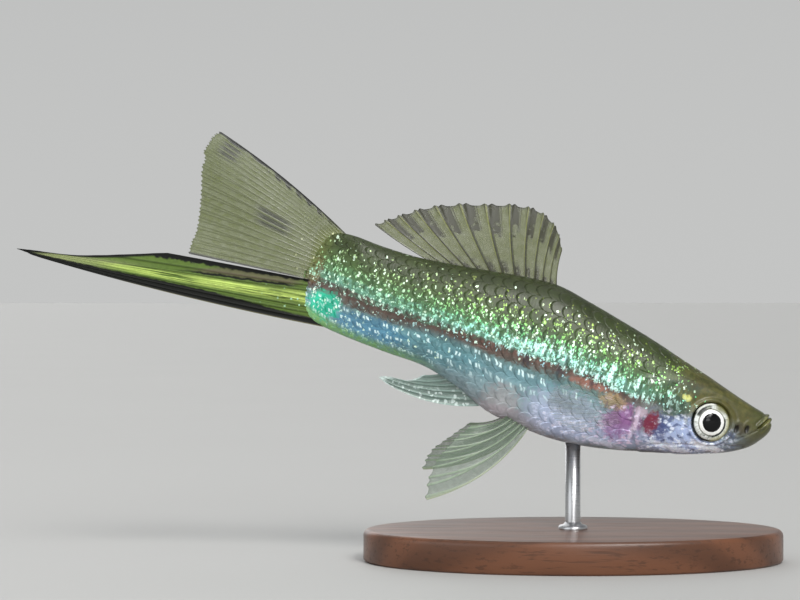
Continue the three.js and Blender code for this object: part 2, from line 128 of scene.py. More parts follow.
def to_part(points):
    """Points given as station, height, side in mm, tilted nose down about the side axis,
    carried to the stand and turned into metres."""
    station, height, side = np.moveaxis(np.asarray(points, float), -1, 0)
    x, z = tilted(station, height)
    return np.stack([x + FISH_ORIGIN[0], side, z + FISH_ORIGIN[2]], -1) * MM


# Body surface

def step(low, high, value):
    """Smooth step: 0 below low, 1 above high, 3t^2 - 2t^3 between, also for low > high."""
    t = np.clip((value - low) / (high - low), 0.0, 1.0)
    return t * t * (3.0 - 2.0 * t)


def bell(value, width):
    """A bell curve of height 1: exp(-(value / width)^2)."""
    return np.exp(-((value / width) ** 2))


def cubic(start, end, leave, arrive, t):
    """The cubic from start to end at t from 0 to 1, with the slopes leave and arrive."""
    return (start + leave * t + (3.0 * (end - start) - 2.0 * leave - arrive) * t ** 2
            + (2.0 * (start - end) + leave + arrive) * t ** 3)


def unit(vectors):
    """The vectors at length 1."""
    return vectors / np.maximum(np.linalg.norm(vectors, axis=-1, keepdims=True), 1e-12)


def away_from(middle, station, height):
    """The distance of a station and height from a middle, in mm."""
    return np.hypot(station - middle[0], height - middle[1])


def along_body(u):
    """The rows of BODY as one smooth curve: a cubic through the rows with central slopes."""
    row = np.clip(np.floor(u).astype(int), 0, LAST_ROW - 1)
    p0, p1, p2, p3 = (BODY[np.clip(row + shift, 0, LAST_ROW)] for shift in (-1, 0, 1, 2))
    return cubic(p1, p2, (p2 - p0) / 2.0, (p3 - p1) / 2.0, (u - row)[..., None])


def body_point(u, turn):
    """The plain body: on the section at u, a super-ellipse about the widest level, with
    rise = reach |cos|^p and side = half |sin|^p, thinned into the tail fin's root. Gives
    station, height, side."""
    rows = along_body(u)
    back, belly = rows[..., 0:2], rows[..., 2:4]
    tall = np.linalg.norm(back - belly, axis=-1)
    cosine, sine = np.cos(turn), np.sin(turn)
    power = 2.0 / np.where(cosine >= 0, rows[..., 6], rows[..., 7])
    reach = np.where(cosine >= 0, 1.0 - rows[..., 5], rows[..., 5]) * tall
    rise = reach * np.sign(cosine) * np.abs(cosine) ** power
    place = belly + unit(back - belly) * (rows[..., 5] * tall + rise)[..., None]
    thinner = 1.0 - 0.7 * step(69.0, 76.4, place[..., 0])
    side = rows[..., 4] * np.sign(sine) * np.abs(sine) ** power * thinner
    return np.concatenate([place, side[..., None]], -1)


# Steps of the girth table along the body, round it while measuring, and round it as kept
U_STEPS, TURN_STEPS, GIRTH_STEPS = 900, 500, 240


def girth_table():
    """The body's left half on an even grid: rows of u, and along each row equal steps of
    arc length from the back to the belly. Gives the rows' u and the turn of each step."""
    u = np.linspace(0.02, LAST_ROW - 0.02, U_STEPS)
    turn = np.linspace(0.0, np.pi, TURN_STEPS)
    points = body_point(u[:, None] + 0 * turn, turn + 0 * u[:, None])
    steps = np.linalg.norm(np.diff(points, axis=1), axis=-1)
    run = np.concatenate([np.zeros((U_STEPS, 1)), np.cumsum(steps, 1)], 1)
    run /= run[:, -1:]
    share = np.linspace(0.0, 1.0, GIRTH_STEPS)
    return u, np.array([np.interp(share, row, turn) for row in run])


TABLE_U, TABLE_TURNS = girth_table()
TABLE_MID = body_point(TABLE_U, np.full(U_STEPS, np.pi / 2))[:, 0]


def turn_at(u, share):
    """The turn at a share of the half girth, 0 at the back and 1 at the belly, by linear
    interpolation between the rows and columns of the girth table."""
    row = np.interp(u, TABLE_U, np.arange(U_STEPS))
    column = share * (GIRTH_STEPS - 1)
    r0 = np.clip(row.astype(int), 0, U_STEPS - 2)
    c0 = np.clip(column.astype(int), 0, GIRTH_STEPS - 2)
    fr, fc = row - r0, column - c0
    near = TABLE_TURNS[r0, c0] * (1 - fc) + TABLE_TURNS[r0, c0 + 1] * fc
    far = TABLE_TURNS[r0 + 1, c0] * (1 - fc) + TABLE_TURNS[r0 + 1, c0 + 1] * fc
    return near * (1 - fr) + far * fr


def row_at(station):
    """The place u along BODY whose widest point lies at a station."""
    return np.interp(station, TABLE_MID, TABLE_U)


def surface(u, share, way):
    """Plain surface points and outward normals at u and a share of the half girth. way is
    1 on the left and -1 on the right. The normal is the cross product of two differences,
    turned away from the middle of the body."""
    nudge = 1e-3
    turn = turn_at(u, share)
    here = body_point(u, turn)
    along = body_point(u + nudge, turn) - body_point(u - nudge, turn)
    across = body_point(u, turn + nudge) - body_point(u, turn - nudge)
    normal = unit(np.cross(along, across))
    outward = np.sign(np.sum(normal * (here - [0.0, -2.0, 0.0]) * [0.0, 0.2, 1.0], -1, keepdims=True))
    normal = normal * np.where(outward == 0, 1.0, outward)
    mirror = np.stack([np.ones_like(way), np.ones_like(way), way], -1)
    return here * mirror, normal * mirror


def side_at(station, height):
    """How far out the body's side is at a station and height, from the nearest point of
    an even sample of the left half."""
    u = np.linspace(0.5, LAST_ROW - 0.5, 600)[:, None]
    turn = np.linspace(0.0, np.pi, 181)[None, :]
    points = body_point(u + 0 * turn, turn + 0 * u).reshape(-1, 3)
    return points[np.argmin(away_from((station, height), points[:, 0], points[:, 1])), 2]


def segment_place(station, height, start, end):
    """Distance from the segment from start to end, and how far along it, from 0 to 1."""
    run = np.asarray(end) - np.asarray(start)
    ds, dh = station - start[0], height - start[1]
    along = np.clip((ds * run[0] + dh * run[1]) / np.hypot(*run) ** 2, 0.0, 1.0)
    return np.hypot(ds - along * run[0], dh - along * run[1]), along


def coat_share(station, height):
    """How far the scale coat covers a place, from 0 on the bare head to 1 on the trunk: a
    sharp step behind the gill cover, and a slow one over the nape."""
    nape = step(0.0, 2.8, height)
    end = GILL_RADIUS + 0.1 - 1.6 * nape
    return step(end - 0.4 - 4.2 * nape, end, away_from(GILL_AT, station, height))


def skin_relief(station, height, inset):
    """How far the skin stands out past the plain body, in mm: the raised gill cover with a
    sharp rear edge, the crease before it, the eye's pit and rim, lips, jaw and nostrils."""
    from_gill = away_from(GILL_AT, station, height)
    from_eye_rim = away_from(EYE_AT, station, height) - EYE_RADIUS

    # The gill cover's raised rear with its low lip, the crease and the ridge before it
    level = step(1.6, -0.8, height) * step(-10.4, -8.8, height)
    behind = level * step(EYE_AT[0] - 0.5, EYE_AT[0] + 3.0, station)
    inside = step(GILL_RADIUS + 0.12, GILL_RADIUS - 0.08, from_gill)
    relief = 0.36 * step(7.6, 11.2, from_gill) * behind * inside
    for from_centre, lift, width in ((10.8, -0.12, 0.2), (7.5, -0.2, 0.3), (6.9, 0.06, 0.5)):
        relief += lift * bell(from_gill - from_centre, width) * behind
    relief += -0.12 * bell(from_gill - 5.2, 0.3) * step(-3.5, -5.5, height) * level

    # The slit of the mouth, the lips and the furrow round them, jaw and throat
    gap, along = segment_place(station, height, MOUTH_TIP, MOUTH_CORNER)
    fade = step(1.0, 0.8, along)
    relief += -0.62 * bell(gap, 0.11) * step(1.0, 0.9, along)
    relief += 0.2 * bell(gap - 0.34, 0.2) * fade
    relief += -0.14 * bell(gap - 0.82, 0.2) * fade * step(0.0, 0.35, along)
    for start, end, lift, width in (JAW_LINE, THROAT_LINE):
        relief += lift * bell(segment_place(station, height, start, end)[0], width)

    # Nostrils with a low rim, and the brow over the eye
    for nostril in NOSTRILS:
        away = np.hypot(station - nostril[0], (height - nostril[1]) / 1.9)
        relief += -0.42 * bell(away, 0.3) + 0.1 * bell(away - 0.62, 0.18)
    relief += 0.12 * bell(height - 0.9 - 0.1 * (station - 5.0), 0.5) * bell(station - 7.5, 3.0)

    # The raised rim of the eye's pit. All of this stays on the head
    relief += 0.2 * bell(from_eye_rim - 0.42, 0.3) - 0.1 * bell(from_eye_rim - 1.0, 0.35)
    relief *= step(GILL_RADIUS + 0.15, GILL_RADIUS - 0.1, from_gill)

    # The pit itself, and the inset of the skin under the scales
    return relief - 1.25 * step(0.22, -0.12, from_eye_rim) - inset * coat_share(station, height)


# Meshes from arrays

def signed_volume(vertices, corners):
    """Six times the enclosed volume: the sum of the triple products of each triangle."""
    a, b, c = (vertices[corners[:, k]] for k in range(3))
    return np.sum(a * np.cross(b, c))


def make_piece(name, vertices, quads, material, triangles=None, values=None, maps=None, slot=None):
    """A mesh piece from arrays of vertices in metres, quads and triangles, wound so that its
    enclosed volume is positive, with per-vertex values and UV maps, smooth, and riding on
    the body."""
    quads = np.asarray(quads, np.int64).reshape(-1, 4)
    triangles = np.zeros((0, 3), np.int64) if triangles is None else np.asarray(triangles, np.int64)
    halves = np.concatenate([quads[:, [0, 1, 2]], quads[:, [0, 2, 3]], triangles])
    if signed_volume(vertices, halves) < 0:
        quads, triangles = quads[:, ::-1], triangles[:, ::-1]
    corners = np.concatenate([quads.ravel(), triangles.ravel()]).astype(np.int32)
    sizes = np.concatenate([np.full(len(quads), 4), np.full(len(triangles), 3)])
    starts = np.concatenate([[0], np.cumsum(sizes)[:-1]]).astype(np.int32)
    mesh = bpy.data.meshes.new(name)
    mesh.vertices.add(len(vertices))
    mesh.vertices.foreach_set("co", np.ascontiguousarray(vertices, np.float32).ravel())
    mesh.loops.add(len(corners))
    mesh.loops.foreach_set("vertex_index", corners)
    mesh.polygons.add(len(sizes))
    mesh.polygons.foreach_set("loop_start", starts)
    mesh.polygons.foreach_set("use_smooth", np.ones(len(sizes), bool))
    mesh.update(calc_edges=True)
    for key, value in (values or {}).items():
        layer = mesh.attributes.new(key, "FLOAT", "POINT")
        layer.data.foreach_set("value", np.ascontiguousarray(value, np.float32).ravel())
    for key, value in (maps or {}).items():
        layer = mesh.uv_layers.new(name=key)
        layer.data.foreach_set("uv", np.ascontiguousarray(value[corners], np.float32).ravel())
    mesh.materials.append(material)
    piece = bpy.data.objects.new(name, mesh)
    bpy.context.scene.collection.objects.link(piece)
    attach(piece, BODY_NAME)
    return piece


def grid_quads(rows, columns, wrap=False):
    """The quads of a grid of rows by columns vertices, closed round the columns if wrap."""
    index = np.arange(rows * columns).reshape(rows, columns)
    if wrap:
        index = np.concatenate([index, index[:, :1]], 1)
    return np.stack([index[:-1, :-1], index[:-1, 1:], index[1:, 1:], index[1:, :-1]], -1).reshape(-1, 4)


def fan(centre, ring, turned=False):
    """Triangles from a centre vertex to a closed ring of vertices."""
    other = np.roll(ring, -1)
    pair = (other, ring) if turned else (ring, other)
    return np.stack([np.full(len(ring), centre), *pair], -1)


def closed_tube(rings, name, material, **extras):
    """A closed piece from an array of rings by around by 3: each end is closed by a fan to
    a pole, the middle of the end ring."""
    count, around = rings.shape[:2]
    vertices = np.concatenate([rings.reshape(-1, 3), [rings[0].mean(0), rings[-1].mean(0)]])
    total = count * around
    first_ring = np.arange(around)
    ends = np.concatenate([
        fan(total, first_ring, turned=True), fan(total + 1, first_ring + total - around)])
    return make_piece(name, vertices, grid_quads(count, around, wrap=True), material, ends, **extras)


def with_poles(values):
    """Per-ring values with the two poles' values added: the mean of each end ring."""
    return np.concatenate([values.ravel(), [values[0].mean(), values[-1].mean()]])


# Shader graphs

def linear(colour):
    """An 8-bit screen colour as linear values: ((c + 0.055) / 1.055)^2.4 above the toe."""
    share = np.asarray(colour, float) / 255.0
    low, high = share / 12.92, ((share + 0.055) / 1.055) ** 2.4
    return tuple(float(v) for v in np.where(share <= 0.04045, low, high))


class Value:
    """The output of a node, to reckon with like a number: each step adds one more node."""

    def __init__(self, graph, socket):
        self.graph = graph
        self.socket = socket

    def __add__(self, other):
        return self.graph.math("ADD", self, other)

    def __sub__(self, other):
        return self.graph.math("SUBTRACT", self, other)

    def __mul__(self, other):
        return self.graph.math("MULTIPLY", self, other)

    def __truediv__(self, other):
        return self.graph.math("DIVIDE", self, other)

    def __abs__(self):
        return self.graph.math("ABSOLUTE", self)

    def sine(self):
        return self.graph.math("SINE", self)

    def span(self, low, high, bottom=0.0, top=1.0):
        """Smooth change from bottom at low to top at high."""
        inputs = {"Value": self, "From Min": low, "From Max": high, "To Min": bottom, "To Max": top}
        return self.graph.value("ShaderNodeMapRange", inputs, interpolation_type="SMOOTHSTEP")

    def between(self, low, high, soft):
        """1 inside low to high, falling to 0 over soft on both sides."""
        return self.span(low - soft, low + soft) * self.span(high - soft, high + soft, 1.0, 0.0)

    def ramp(self, stops):
        """A colour ramp; each stop is a place from 0 to 1 and an 8-bit colour."""
        node = self.graph.add("ShaderNodeValToRGB", {"Fac": self})
        points = node.color_ramp.elements
        while len(points) < len(stops):
            points.new(0.5)
        for point, (place, colour) in zip(points, stops):
            point.position = place
            point.color = (*linear(colour), 1.0)
        return Value(self.graph, node.outputs[0])

    def split(self):
        """The three parts of a vector or colour."""
        node = self.graph.add("ShaderNodeSeparateXYZ", {"Vector": self})
        return [Value(self.graph, socket) for socket in node.outputs]


class Graph:
    """A short way to write a node tree."""

    def __init__(self, tree):
        self.tree = tree

    def add(self, kind, inputs=(), **settings):
        """A new node with its settings, and values or links for its inputs."""
        node = self.tree.nodes.new(kind)
        for key, value in settings.items():
            setattr(node, key, value)
        for key, value in dict(inputs).items():
            self.feed(node.inputs[key], value)
        return node

    def value(self, kind, inputs=(), output=0, **settings):
        """One output of a new node."""
        return Value(self, self.add(kind, inputs, **settings).outputs[output])

    def feed(self, socket, value):
        """Links a value to a socket, or sets the socket to a number or colour."""
        if isinstance(value, Value):
            self.tree.links.new(value.socket, socket)
        elif isinstance(value, tuple) and len(value) == 3 and socket.type == "RGBA":
            socket.default_value = (*value, 1.0)
        else:
            socket.default_value = value

    def group(self, tree):
        """A node that uses a group, with its inputs and its outputs by name."""
        node = self.add("ShaderNodeGroup", node_tree=tree)
        return node.inputs, {socket.name: Value(self, socket) for socket in node.outputs}

    def math(self, operation, *values):
        """One step of arithmetic."""
        return self.value("ShaderNodeMath", enumerate(values), operation=operation)

    def mix(self, share, first, second, blend="MIX"):
        """The second colour over the first by a share from 0 to 1."""
        inputs = {0: share, 6: first, 7: second}
        return self.value("ShaderNodeMix", inputs, 2, data_type="RGBA", blend_type=blend, clamp_factor=True)

    def noise(self, vector, scale, detail=2.0, roughness=0.5, output="Fac"):
        """Soft noise, mostly between 0.3 and 0.7."""
        inputs = {"Vector": vector, "Scale": scale, "Detail": detail, "Roughness": roughness}
        return self.value("ShaderNodeTexNoise", inputs, output)

    def cells(self, vector, scale):
        """Random cells: the distance from each cell's middle, and its three random numbers."""
        node = self.add("ShaderNodeTexVoronoi", {"Vector": vector, "Scale": scale})
        return Value(self, node.outputs["Distance"]), *Value(self, node.outputs["Color"]).split()

    def stretched(self, vector, *scales):
        """The vector with each of its parts scaled."""
        return self.value("ShaderNodeMapping", {"Vector": vector, "Scale": scales})

    def bent(self, vector, scale, amount):
        """The vector pushed about by up to half the amount of a noise of the given scale."""
        push = self.noise(vector, scale, 1.0, 0.5, "Color")
        inputs = {0: push, 1: (amount, amount, amount), 2: vector}
        return self.value("ShaderNodeVectorMath", inputs, operation="MULTIPLY_ADD")

    def attributes(self, *names):
        """Values that a piece carries at its vertices; a piece without one gives 0."""
        return [self.value("ShaderNodeAttribute", (), "Fac", attribute_name=name) for name in names]

    def where(self):
        """The place on the piece: Object coordinates, in metres."""
        return self.value("ShaderNodeTexCoord", (), "Object")

    def join(self, x, y, z=0.0):
        """A vector from its three parts."""
        return self.value("ShaderNodeCombineXYZ", {"X": x, "Y": y, "Z": z})

    def bump(self, height, strength, distance):
        """A normal tilted by a height, whose full rise is the distance in metres."""
        return self.value("ShaderNodeBump", {"Height": height, "Strength": strength, "Distance": distance})


def highest(first, *others):
    """The highest of several values."""
    for other in others:
        first = first.graph.math("MAXIMUM", first, other)
    return first


class Paint:
    """A colour that further tints are laid over."""

    def __init__(self, graph, colour):
        self.graph = graph
        self.colour = colour

    def lay(self, share, colour):
        """Lays a colour over the paint by a share from 0 to 1."""
        self.colour = self.graph.mix(share, self.colour, colour)

    def tint(self, share, tone):
        """Lays an 8-bit colour, or one of the named tints, over the paint."""
        self.lay(share, linear(TINTS.get(tone, tone)))


def squared_away(station, height, middle, size=(1.0, 1.0)):
    """((s - s0) / long)^2 + ((h - h0) / deep)^2."""
    ds = (station - float(middle[0])) / size[0]
    dh = (height - float(middle[1])) / size[1]
    return ds * ds + dh * dh


def new_group(name, inputs, outputs):
    """An empty shader node group: inputs as name to type and default, outputs as name to
    type. Gives its graph, its inputs' values and its outputs' sockets."""
    tree = bpy.data.node_groups.new(name, "ShaderNodeTree")
    for key, (kind, default) in inputs.items():
        socket = tree.interface.new_socket(name=key, in_out="INPUT", socket_type="NodeSocket" + kind)
        socket.default_value = default
    for key, kind in outputs.items():
        tree.interface.new_socket(name=key, in_out="OUTPUT", socket_type="NodeSocket" + kind)
    graph = Graph(tree)
    given = {socket.name: Value(graph, socket) for socket in graph.add("NodeGroupInput").outputs}
    return graph, given, graph.add("NodeGroupOutput").inputs


def new_material(name, **sockets):
    """A material with one Principled shader; sockets are those that are even all over.
    Gives the material, its graph and the shader's sockets."""
    material = bpy.data.materials.new(name)
    material.use_nodes = True
    graph = Graph(material.node_tree)
    shader = material.node_tree.nodes["Principled BSDF"]
    for key, value in sockets.items():
        graph.feed(shader.inputs[key.replace("_", " ")], value)
    return material, graph, shader.inputs


@cache
def fish_frame_group():
    """Object coordinates turned back into the fish's own frame: station and height in mm,
    and station, height and side as one vector."""
    graph, _, out = new_group("fish frame", {}, {"Place": "Vector", "Station": "Float", "Height": "Float"})
    cosine, sine = np.cos(NOSE_DOWN), np.sin(NOSE_DOWN)
    shift_x = FISH_ORIGIN[0] * cosine - FISH_ORIGIN[2] * sine
    shift_z = FISH_ORIGIN[0] * sine + FISH_ORIGIN[2] * cosine
    turned_back = graph.value("ShaderNodeMapping", {
        "Vector": graph.where(), "Rotation": (0.0, -NOSE_DOWN, 0.0), "Scale": (1 / MM, 1 / MM, 1 / MM),
        "Location": (-shift_x, 0.0, -shift_z)})
    x, y, z = turned_back.split()
    station = x * -1.0
    graph.feed(out["Place"], graph.join(station, z, y))
    graph.feed(out["Station"], station)
    graph.feed(out["Height"], z)
    return graph.tree


def fish_frame(graph):
    """Place, station and height in the fish's own frame."""
    return graph.group(fish_frame_group())[1].values()


# Markings. Colours are 8-bit screen values, places are station and height in mm

FIN_OLIVE = (96, 104, 50)

# Ground colour by height over the stripe, from GROUND_LOW over GROUND_RISE
GROUND_LOW, GROUND_RISE = -12.0, 25.0
GROUND_STOPS = (
    (0.0, (178, 172, 180)), (0.12, (154, 164, 170)), (0.24, (134, 160, 166)), (0.36, (110, 148, 156)),
    (0.42, (98, 126, 126)), (0.455, (90, 82, 74)), (0.48, (86, 66, 58)), (0.505, (76, 70, 60)),
    (0.535, (88, 138, 112)), (0.6, (78, 116, 74)), (0.68, (66, 88, 42)), (0.78, (54, 66, 28)),
    (1.0, (38, 44, 17)),
)
CROWN_STOPS = ((0.0, (124, 138, 156)), (0.3, (108, 114, 104)), (0.5, (92, 90, 42)), (1.0, (60, 62, 24)))
JAW_STOPS = ((0.0, (92, 92, 66)), (0.5, (86, 86, 46)), (1.0, (66, 70, 30)))

# How thick the flecks lie, as a grey, and how they shine, by height over the stripe
DENSE_LOW, DENSE_RISE = -1.0, 12.0
DENSE_STOPS = tuple((place, (grey, grey, grey)) for place, grey in (
    (0.0, 0), (0.1, 130), (0.16, 255), (0.34, 250), (0.48, 232), (0.64, 190), (0.8, 105), (0.95, 0)))
SHINE_RISE = 10.0
SHINE_STOPS = (
    (0.0, (176, 228, 238)), (0.1, (196, 250, 240)), (0.2, (150, 240, 208)), (0.32, (124, 220, 150)),
    (0.48, (132, 200, 108)), (0.66, (146, 184, 90)), (1.0, (120, 130, 58)),
)

# Tints of the marks that are laid over the ground
TINTS = {
    "rust": (126, 78, 68), "crown dapple": (112, 106, 54), "scale net": (22, 27, 12),
    "bar": (36, 32, 44), "gap": (26, 60, 46), "faded fleck": (176, 196, 160),
    "bright fleck": (228, 252, 226), "band": (176, 240, 224), "flame": (204, 248, 236),
    "stroke": (216, 240, 240), "rear edge": (116, 166, 92), "lower edge": (198, 210, 244),
    "blotch": (62, 74, 118), "plum": (84, 52, 96), "pearl": (232, 240, 255),
    # The gill tint in the next line is painted shade along the gill cover's rear edge
    "rosy pearl": (226, 208, 232), "blue pearl": (222, 226, 248), "gill edge shadow": (34, 32, 34),
    # The nostril tint is painted shade in the nostril pits
    "nostril": (18, 16, 10),
}

# Soft patches as station, height, half length, half depth, colour, strength
PATCHES = (
    (31.0, -8.8, 8.0, 4.4, (160, 172, 192), 0.85),
    (41.5, -10.0, 3.4, 3.4, (190, 180, 180), 0.5),
    (22.3, -7.4, 3.3, 3.4, (158, 112, 156), 0.85),
    (22.6, -9.6, 2.2, 1.0, (196, 176, 214), 0.8),
    (20.2, -4.9, 1.3, 1.0, (196, 176, 190), 0.8),
    (25.0, -4.6, 2.4, 1.5, (176, 148, 108), 0.8),
    (29.5, -3.2, 3.6, 0.8, (178, 118, 100), 0.6),
    (40.0, -11.8, 7.0, 1.4, (186, 176, 184), 0.7),
    (54.0, -5.4, 9.0, 2.8, (84, 138, 146), 0.55),
    (64.5, -5.6, 7.0, 2.2, (72, 132, 166), 0.65),
    (72.4, -4.3, 2.9, 2.7, (34, 190, 150), 0.95),
    (75.2, 0.8, 1.2, 2.4, (122, 88, 76), 0.7),
    (13.0, -6.6, 5.4, 3.4, (176, 194, 234), 0.9),
    (18.2, -5.9, 1.5, 2.1, (122, 30, 58), 0.9),
    (16.3, -6.6, 1.1, 2.0, (70, 80, 128), 0.75),
    (20.6, -7.2, 0.6, 2.8, (232, 214, 236), 0.75),
    (15.6, -2.2, 2.9, 2.0, (46, 80, 58), 0.8),
    (14.1, -0.5, 0.8, 0.6, (216, 218, 120), 0.9),
    (4.2, -2.5, 1.5, 1.0, (66, 56, 28), 0.75),
    (0.7, -0.3, 0.7, 1.0, (140, 138, 84), 0.6),
)

# Patches that lie over the silver of the cheek and the lower edge. The last three are near-white bands along
# the lower edge, partly the fish's silver and partly painted light on the underside
OVER_PATCHES = (
    (23.1, -7.7, 2.8, 2.8, (146, 96, 152), 0.68),
    (18.2, -6.1, 1.3, 2.1, (118, 26, 54), 0.85),
    (16.3, -7.0, 0.8, 1.6, (66, 78, 132), 0.6),
    (20.5, -7.6, 0.4, 2.4, (238, 220, 240), 0.5),
    (8.6, -6.9, 3.4, 0.7, (244, 248, 255), 0.85),
    (13.6, -8.7, 4.0, 0.6, (236, 242, 255), 0.75),
    (24.0, -11.3, 5.0, 0.5, (232, 236, 255), 0.6),
)


def lay_patches(paint, station, height, patches, ragged):
    """Lays soft patches, their edges moved in and out by the ragged value."""
    for s, h, long, deep, tone, strength in patches:
        away = squared_away(station, height, (s, h), (long, deep)) + ragged
        paint.tint(away.span(1.15, 0.25, 0.0, strength), tone)


def ground_paint(graph, place, station, height, over, fine):
    """The plain colours of body, crown and jaw, with their soft patches."""
    paint = Paint(graph, ((over - GROUND_LOW) / GROUND_RISE).ramp(GROUND_STOPS))
    warm = over.between(-0.7, 0.7, 0.5) * fine.span(0.44, 0.6) * station.between(24.0, 50.0, 5.0)
    paint.tint(warm * 0.34, "rust")
    crown = Paint(graph, height.span(-5.5, 3.0).ramp(CROWN_STOPS))
    crown.tint(graph.noise(place, 1.1, 4.0, 0.65).span(0.36, 0.64) * 0.4, "crown dapple")
    paint.lay((station + height.span(-4.0, 0.0, 0.0, 4.5)).span(24.0, 17.0), crown.colour)
    paint.lay(station.span(5.5, 1.5), height.span(-5.0, 1.0).ramp(JAW_STOPS))
    lay_patches(paint, station, height, PATCHES, fine.span(0.25, 0.75, -0.45, 0.45))

    # The tail's end takes the colour of the fin that grows from it
    paint.tint(station.span(73.0, 76.0) * over.span(-0.5, 1.5) * 0.85, FIN_OLIVE)
    return paint


def fleck_layer(graph, place, station, over, fine):
    """Bright upright grains over the stripe, thick just over it and in columns, one to a
    scale. Gives where they show and how they shine."""
    coat, along, luck = graph.attributes("coat", "along", "luck")
    bent = graph.bent(place, 2.2, 0.5)
    distance, pick, glow, size = graph.cells(graph.stretched(bent, 1.0, 0.66, 1.0), 2.9)
    dense = ((over - DENSE_LOW) / DENSE_RISE).ramp(DENSE_STOPS)
    dense = dense * station.span(44.0, 74.0, 1.0, 0.55) * station.span(10.5, 16.0)
    column = along.between(0.52, 0.86, 0.08) + 0.16
    column = graph.mix(coat, (0.6, 0.6, 0.6), graph.join(column, column, column)).split()[0]
    dense = dense * column * luck.span(0.0, 1.0, 0.8, 1.35)
    low = over.between(-5.5, -0.2, 0.8) * station.span(40.0, 72.0, 0.0, 0.3)
    shown = graph.math("GREATER_THAN", pick + highest(dense, low), 1.0)
    wide = size.span(0.0, 1.0, 0.34, 0.68) - distance
    flecks = shown * wide.span(0.0, 0.22) * fine.span(0.3, 0.6, 0.55, 1.0)
    shine = Paint(graph, (over / SHINE_RISE).ramp(SHINE_STOPS))
    shine.tint(station.span(44.0, 68.0, 0.0, 0.55), "faded fleck")
    shine.tint(glow.span(0.55, 0.95), "bright fleck")
    return flecks, shine.colour


def stroke_layer(graph, place, station, over, fine):
    """Pairs of short upright strokes on the scales under the stripe; the scales with much
    luck have only one."""
    coat, along, across, luck = graph.attributes("coat", "along", "across", "luck")
    shake = graph.noise(place, 0.62, 1.0, 0.5, "Color").split()
    slant = along + (shake[0] - 0.5) * 0.4 + across * 0.12
    rise = across + (shake[1] - 0.5) * 0.8
    first = abs(slant - 0.6)
    second = abs(slant - 0.76) + luck.span(0.7, 0.75, 0.0, 1.0)
    near = graph.math("MINIMUM", first, second) / 0.052
    far = highest(near, abs(rise) / 0.29)
    return (far.span(1.25, 0.6) * coat * over.between(-5.6, -1.5, 0.5) * luck.span(0.05, 0.3)
            * station.span(24.0, 32.0) * over.span(-6.0, -2.5, 0.4, 1.0) * fine.span(0.3, 0.48, 0.35, 1.0))


def lay_silver(paint, place, station, height, fine, flame, girth):
    """Silver glitter on the cheek, the shoulder and the lower edge, over blue and plum
    blotches. The silver is laid as near-white chips, a painted reflection over the fish's
    own silver, and the lower edge is painted paler, partly its own silver and partly painted
    light. Gives where the silver shows."""
    graph = paint.graph
    # Painted light: the lower edge is laid pale blue-white, partly its own silver, partly light where it
    # faces down into shade
    edge = girth.between(0.73, 0.9, 0.04) * station.between(7.0, 36.0, 3.0)
    paint.tint(edge * 0.6, "lower edge")
    cheek = (station.span(20.5, 17.0) * height.span(-2.4, -4.4) * height.span(-10.2, -8.6)
             * station.span(3.5, 6.5))
    bent = graph.bent(place, 1.5, 0.8)
    distance, _, pick, _ = graph.cells(graph.stretched(bent, 0.8, 1.4, 1.0), 1.5)
    chip = (pick + edge * 0.25).span(0.36, 0.66) * distance.span(0.75, 0.25) * fine.span(0.35, 0.55)
    blotch = cheek * graph.noise(graph.stretched(place, 0.7, 1.0, 1.0), 1.3, 2.0).span(0.5, 0.62)
    paint.tint(blotch * 0.75, "blotch")
    rosy = station.between(19.5, 27.0, 1.0) * height.between(-9.6, -4.4, 1.0) * 0.85
    paint.tint(rosy * flame.span(0.5, 0.4) * 0.6, "plum")
    # The silver chips are laid near-white: a painted reflection over the fish's own silver
    silver = highest(edge, cheek, rosy) * chip
    pearl = Paint(graph, linear(TINTS["pearl"]))
    pearl.tint(station.span(17.0, 19.5), "rosy pearl")
    pearl.tint(station.span(26.0, 29.0), "blue pearl")
    paint.lay(silver, pearl.colour)
    return silver


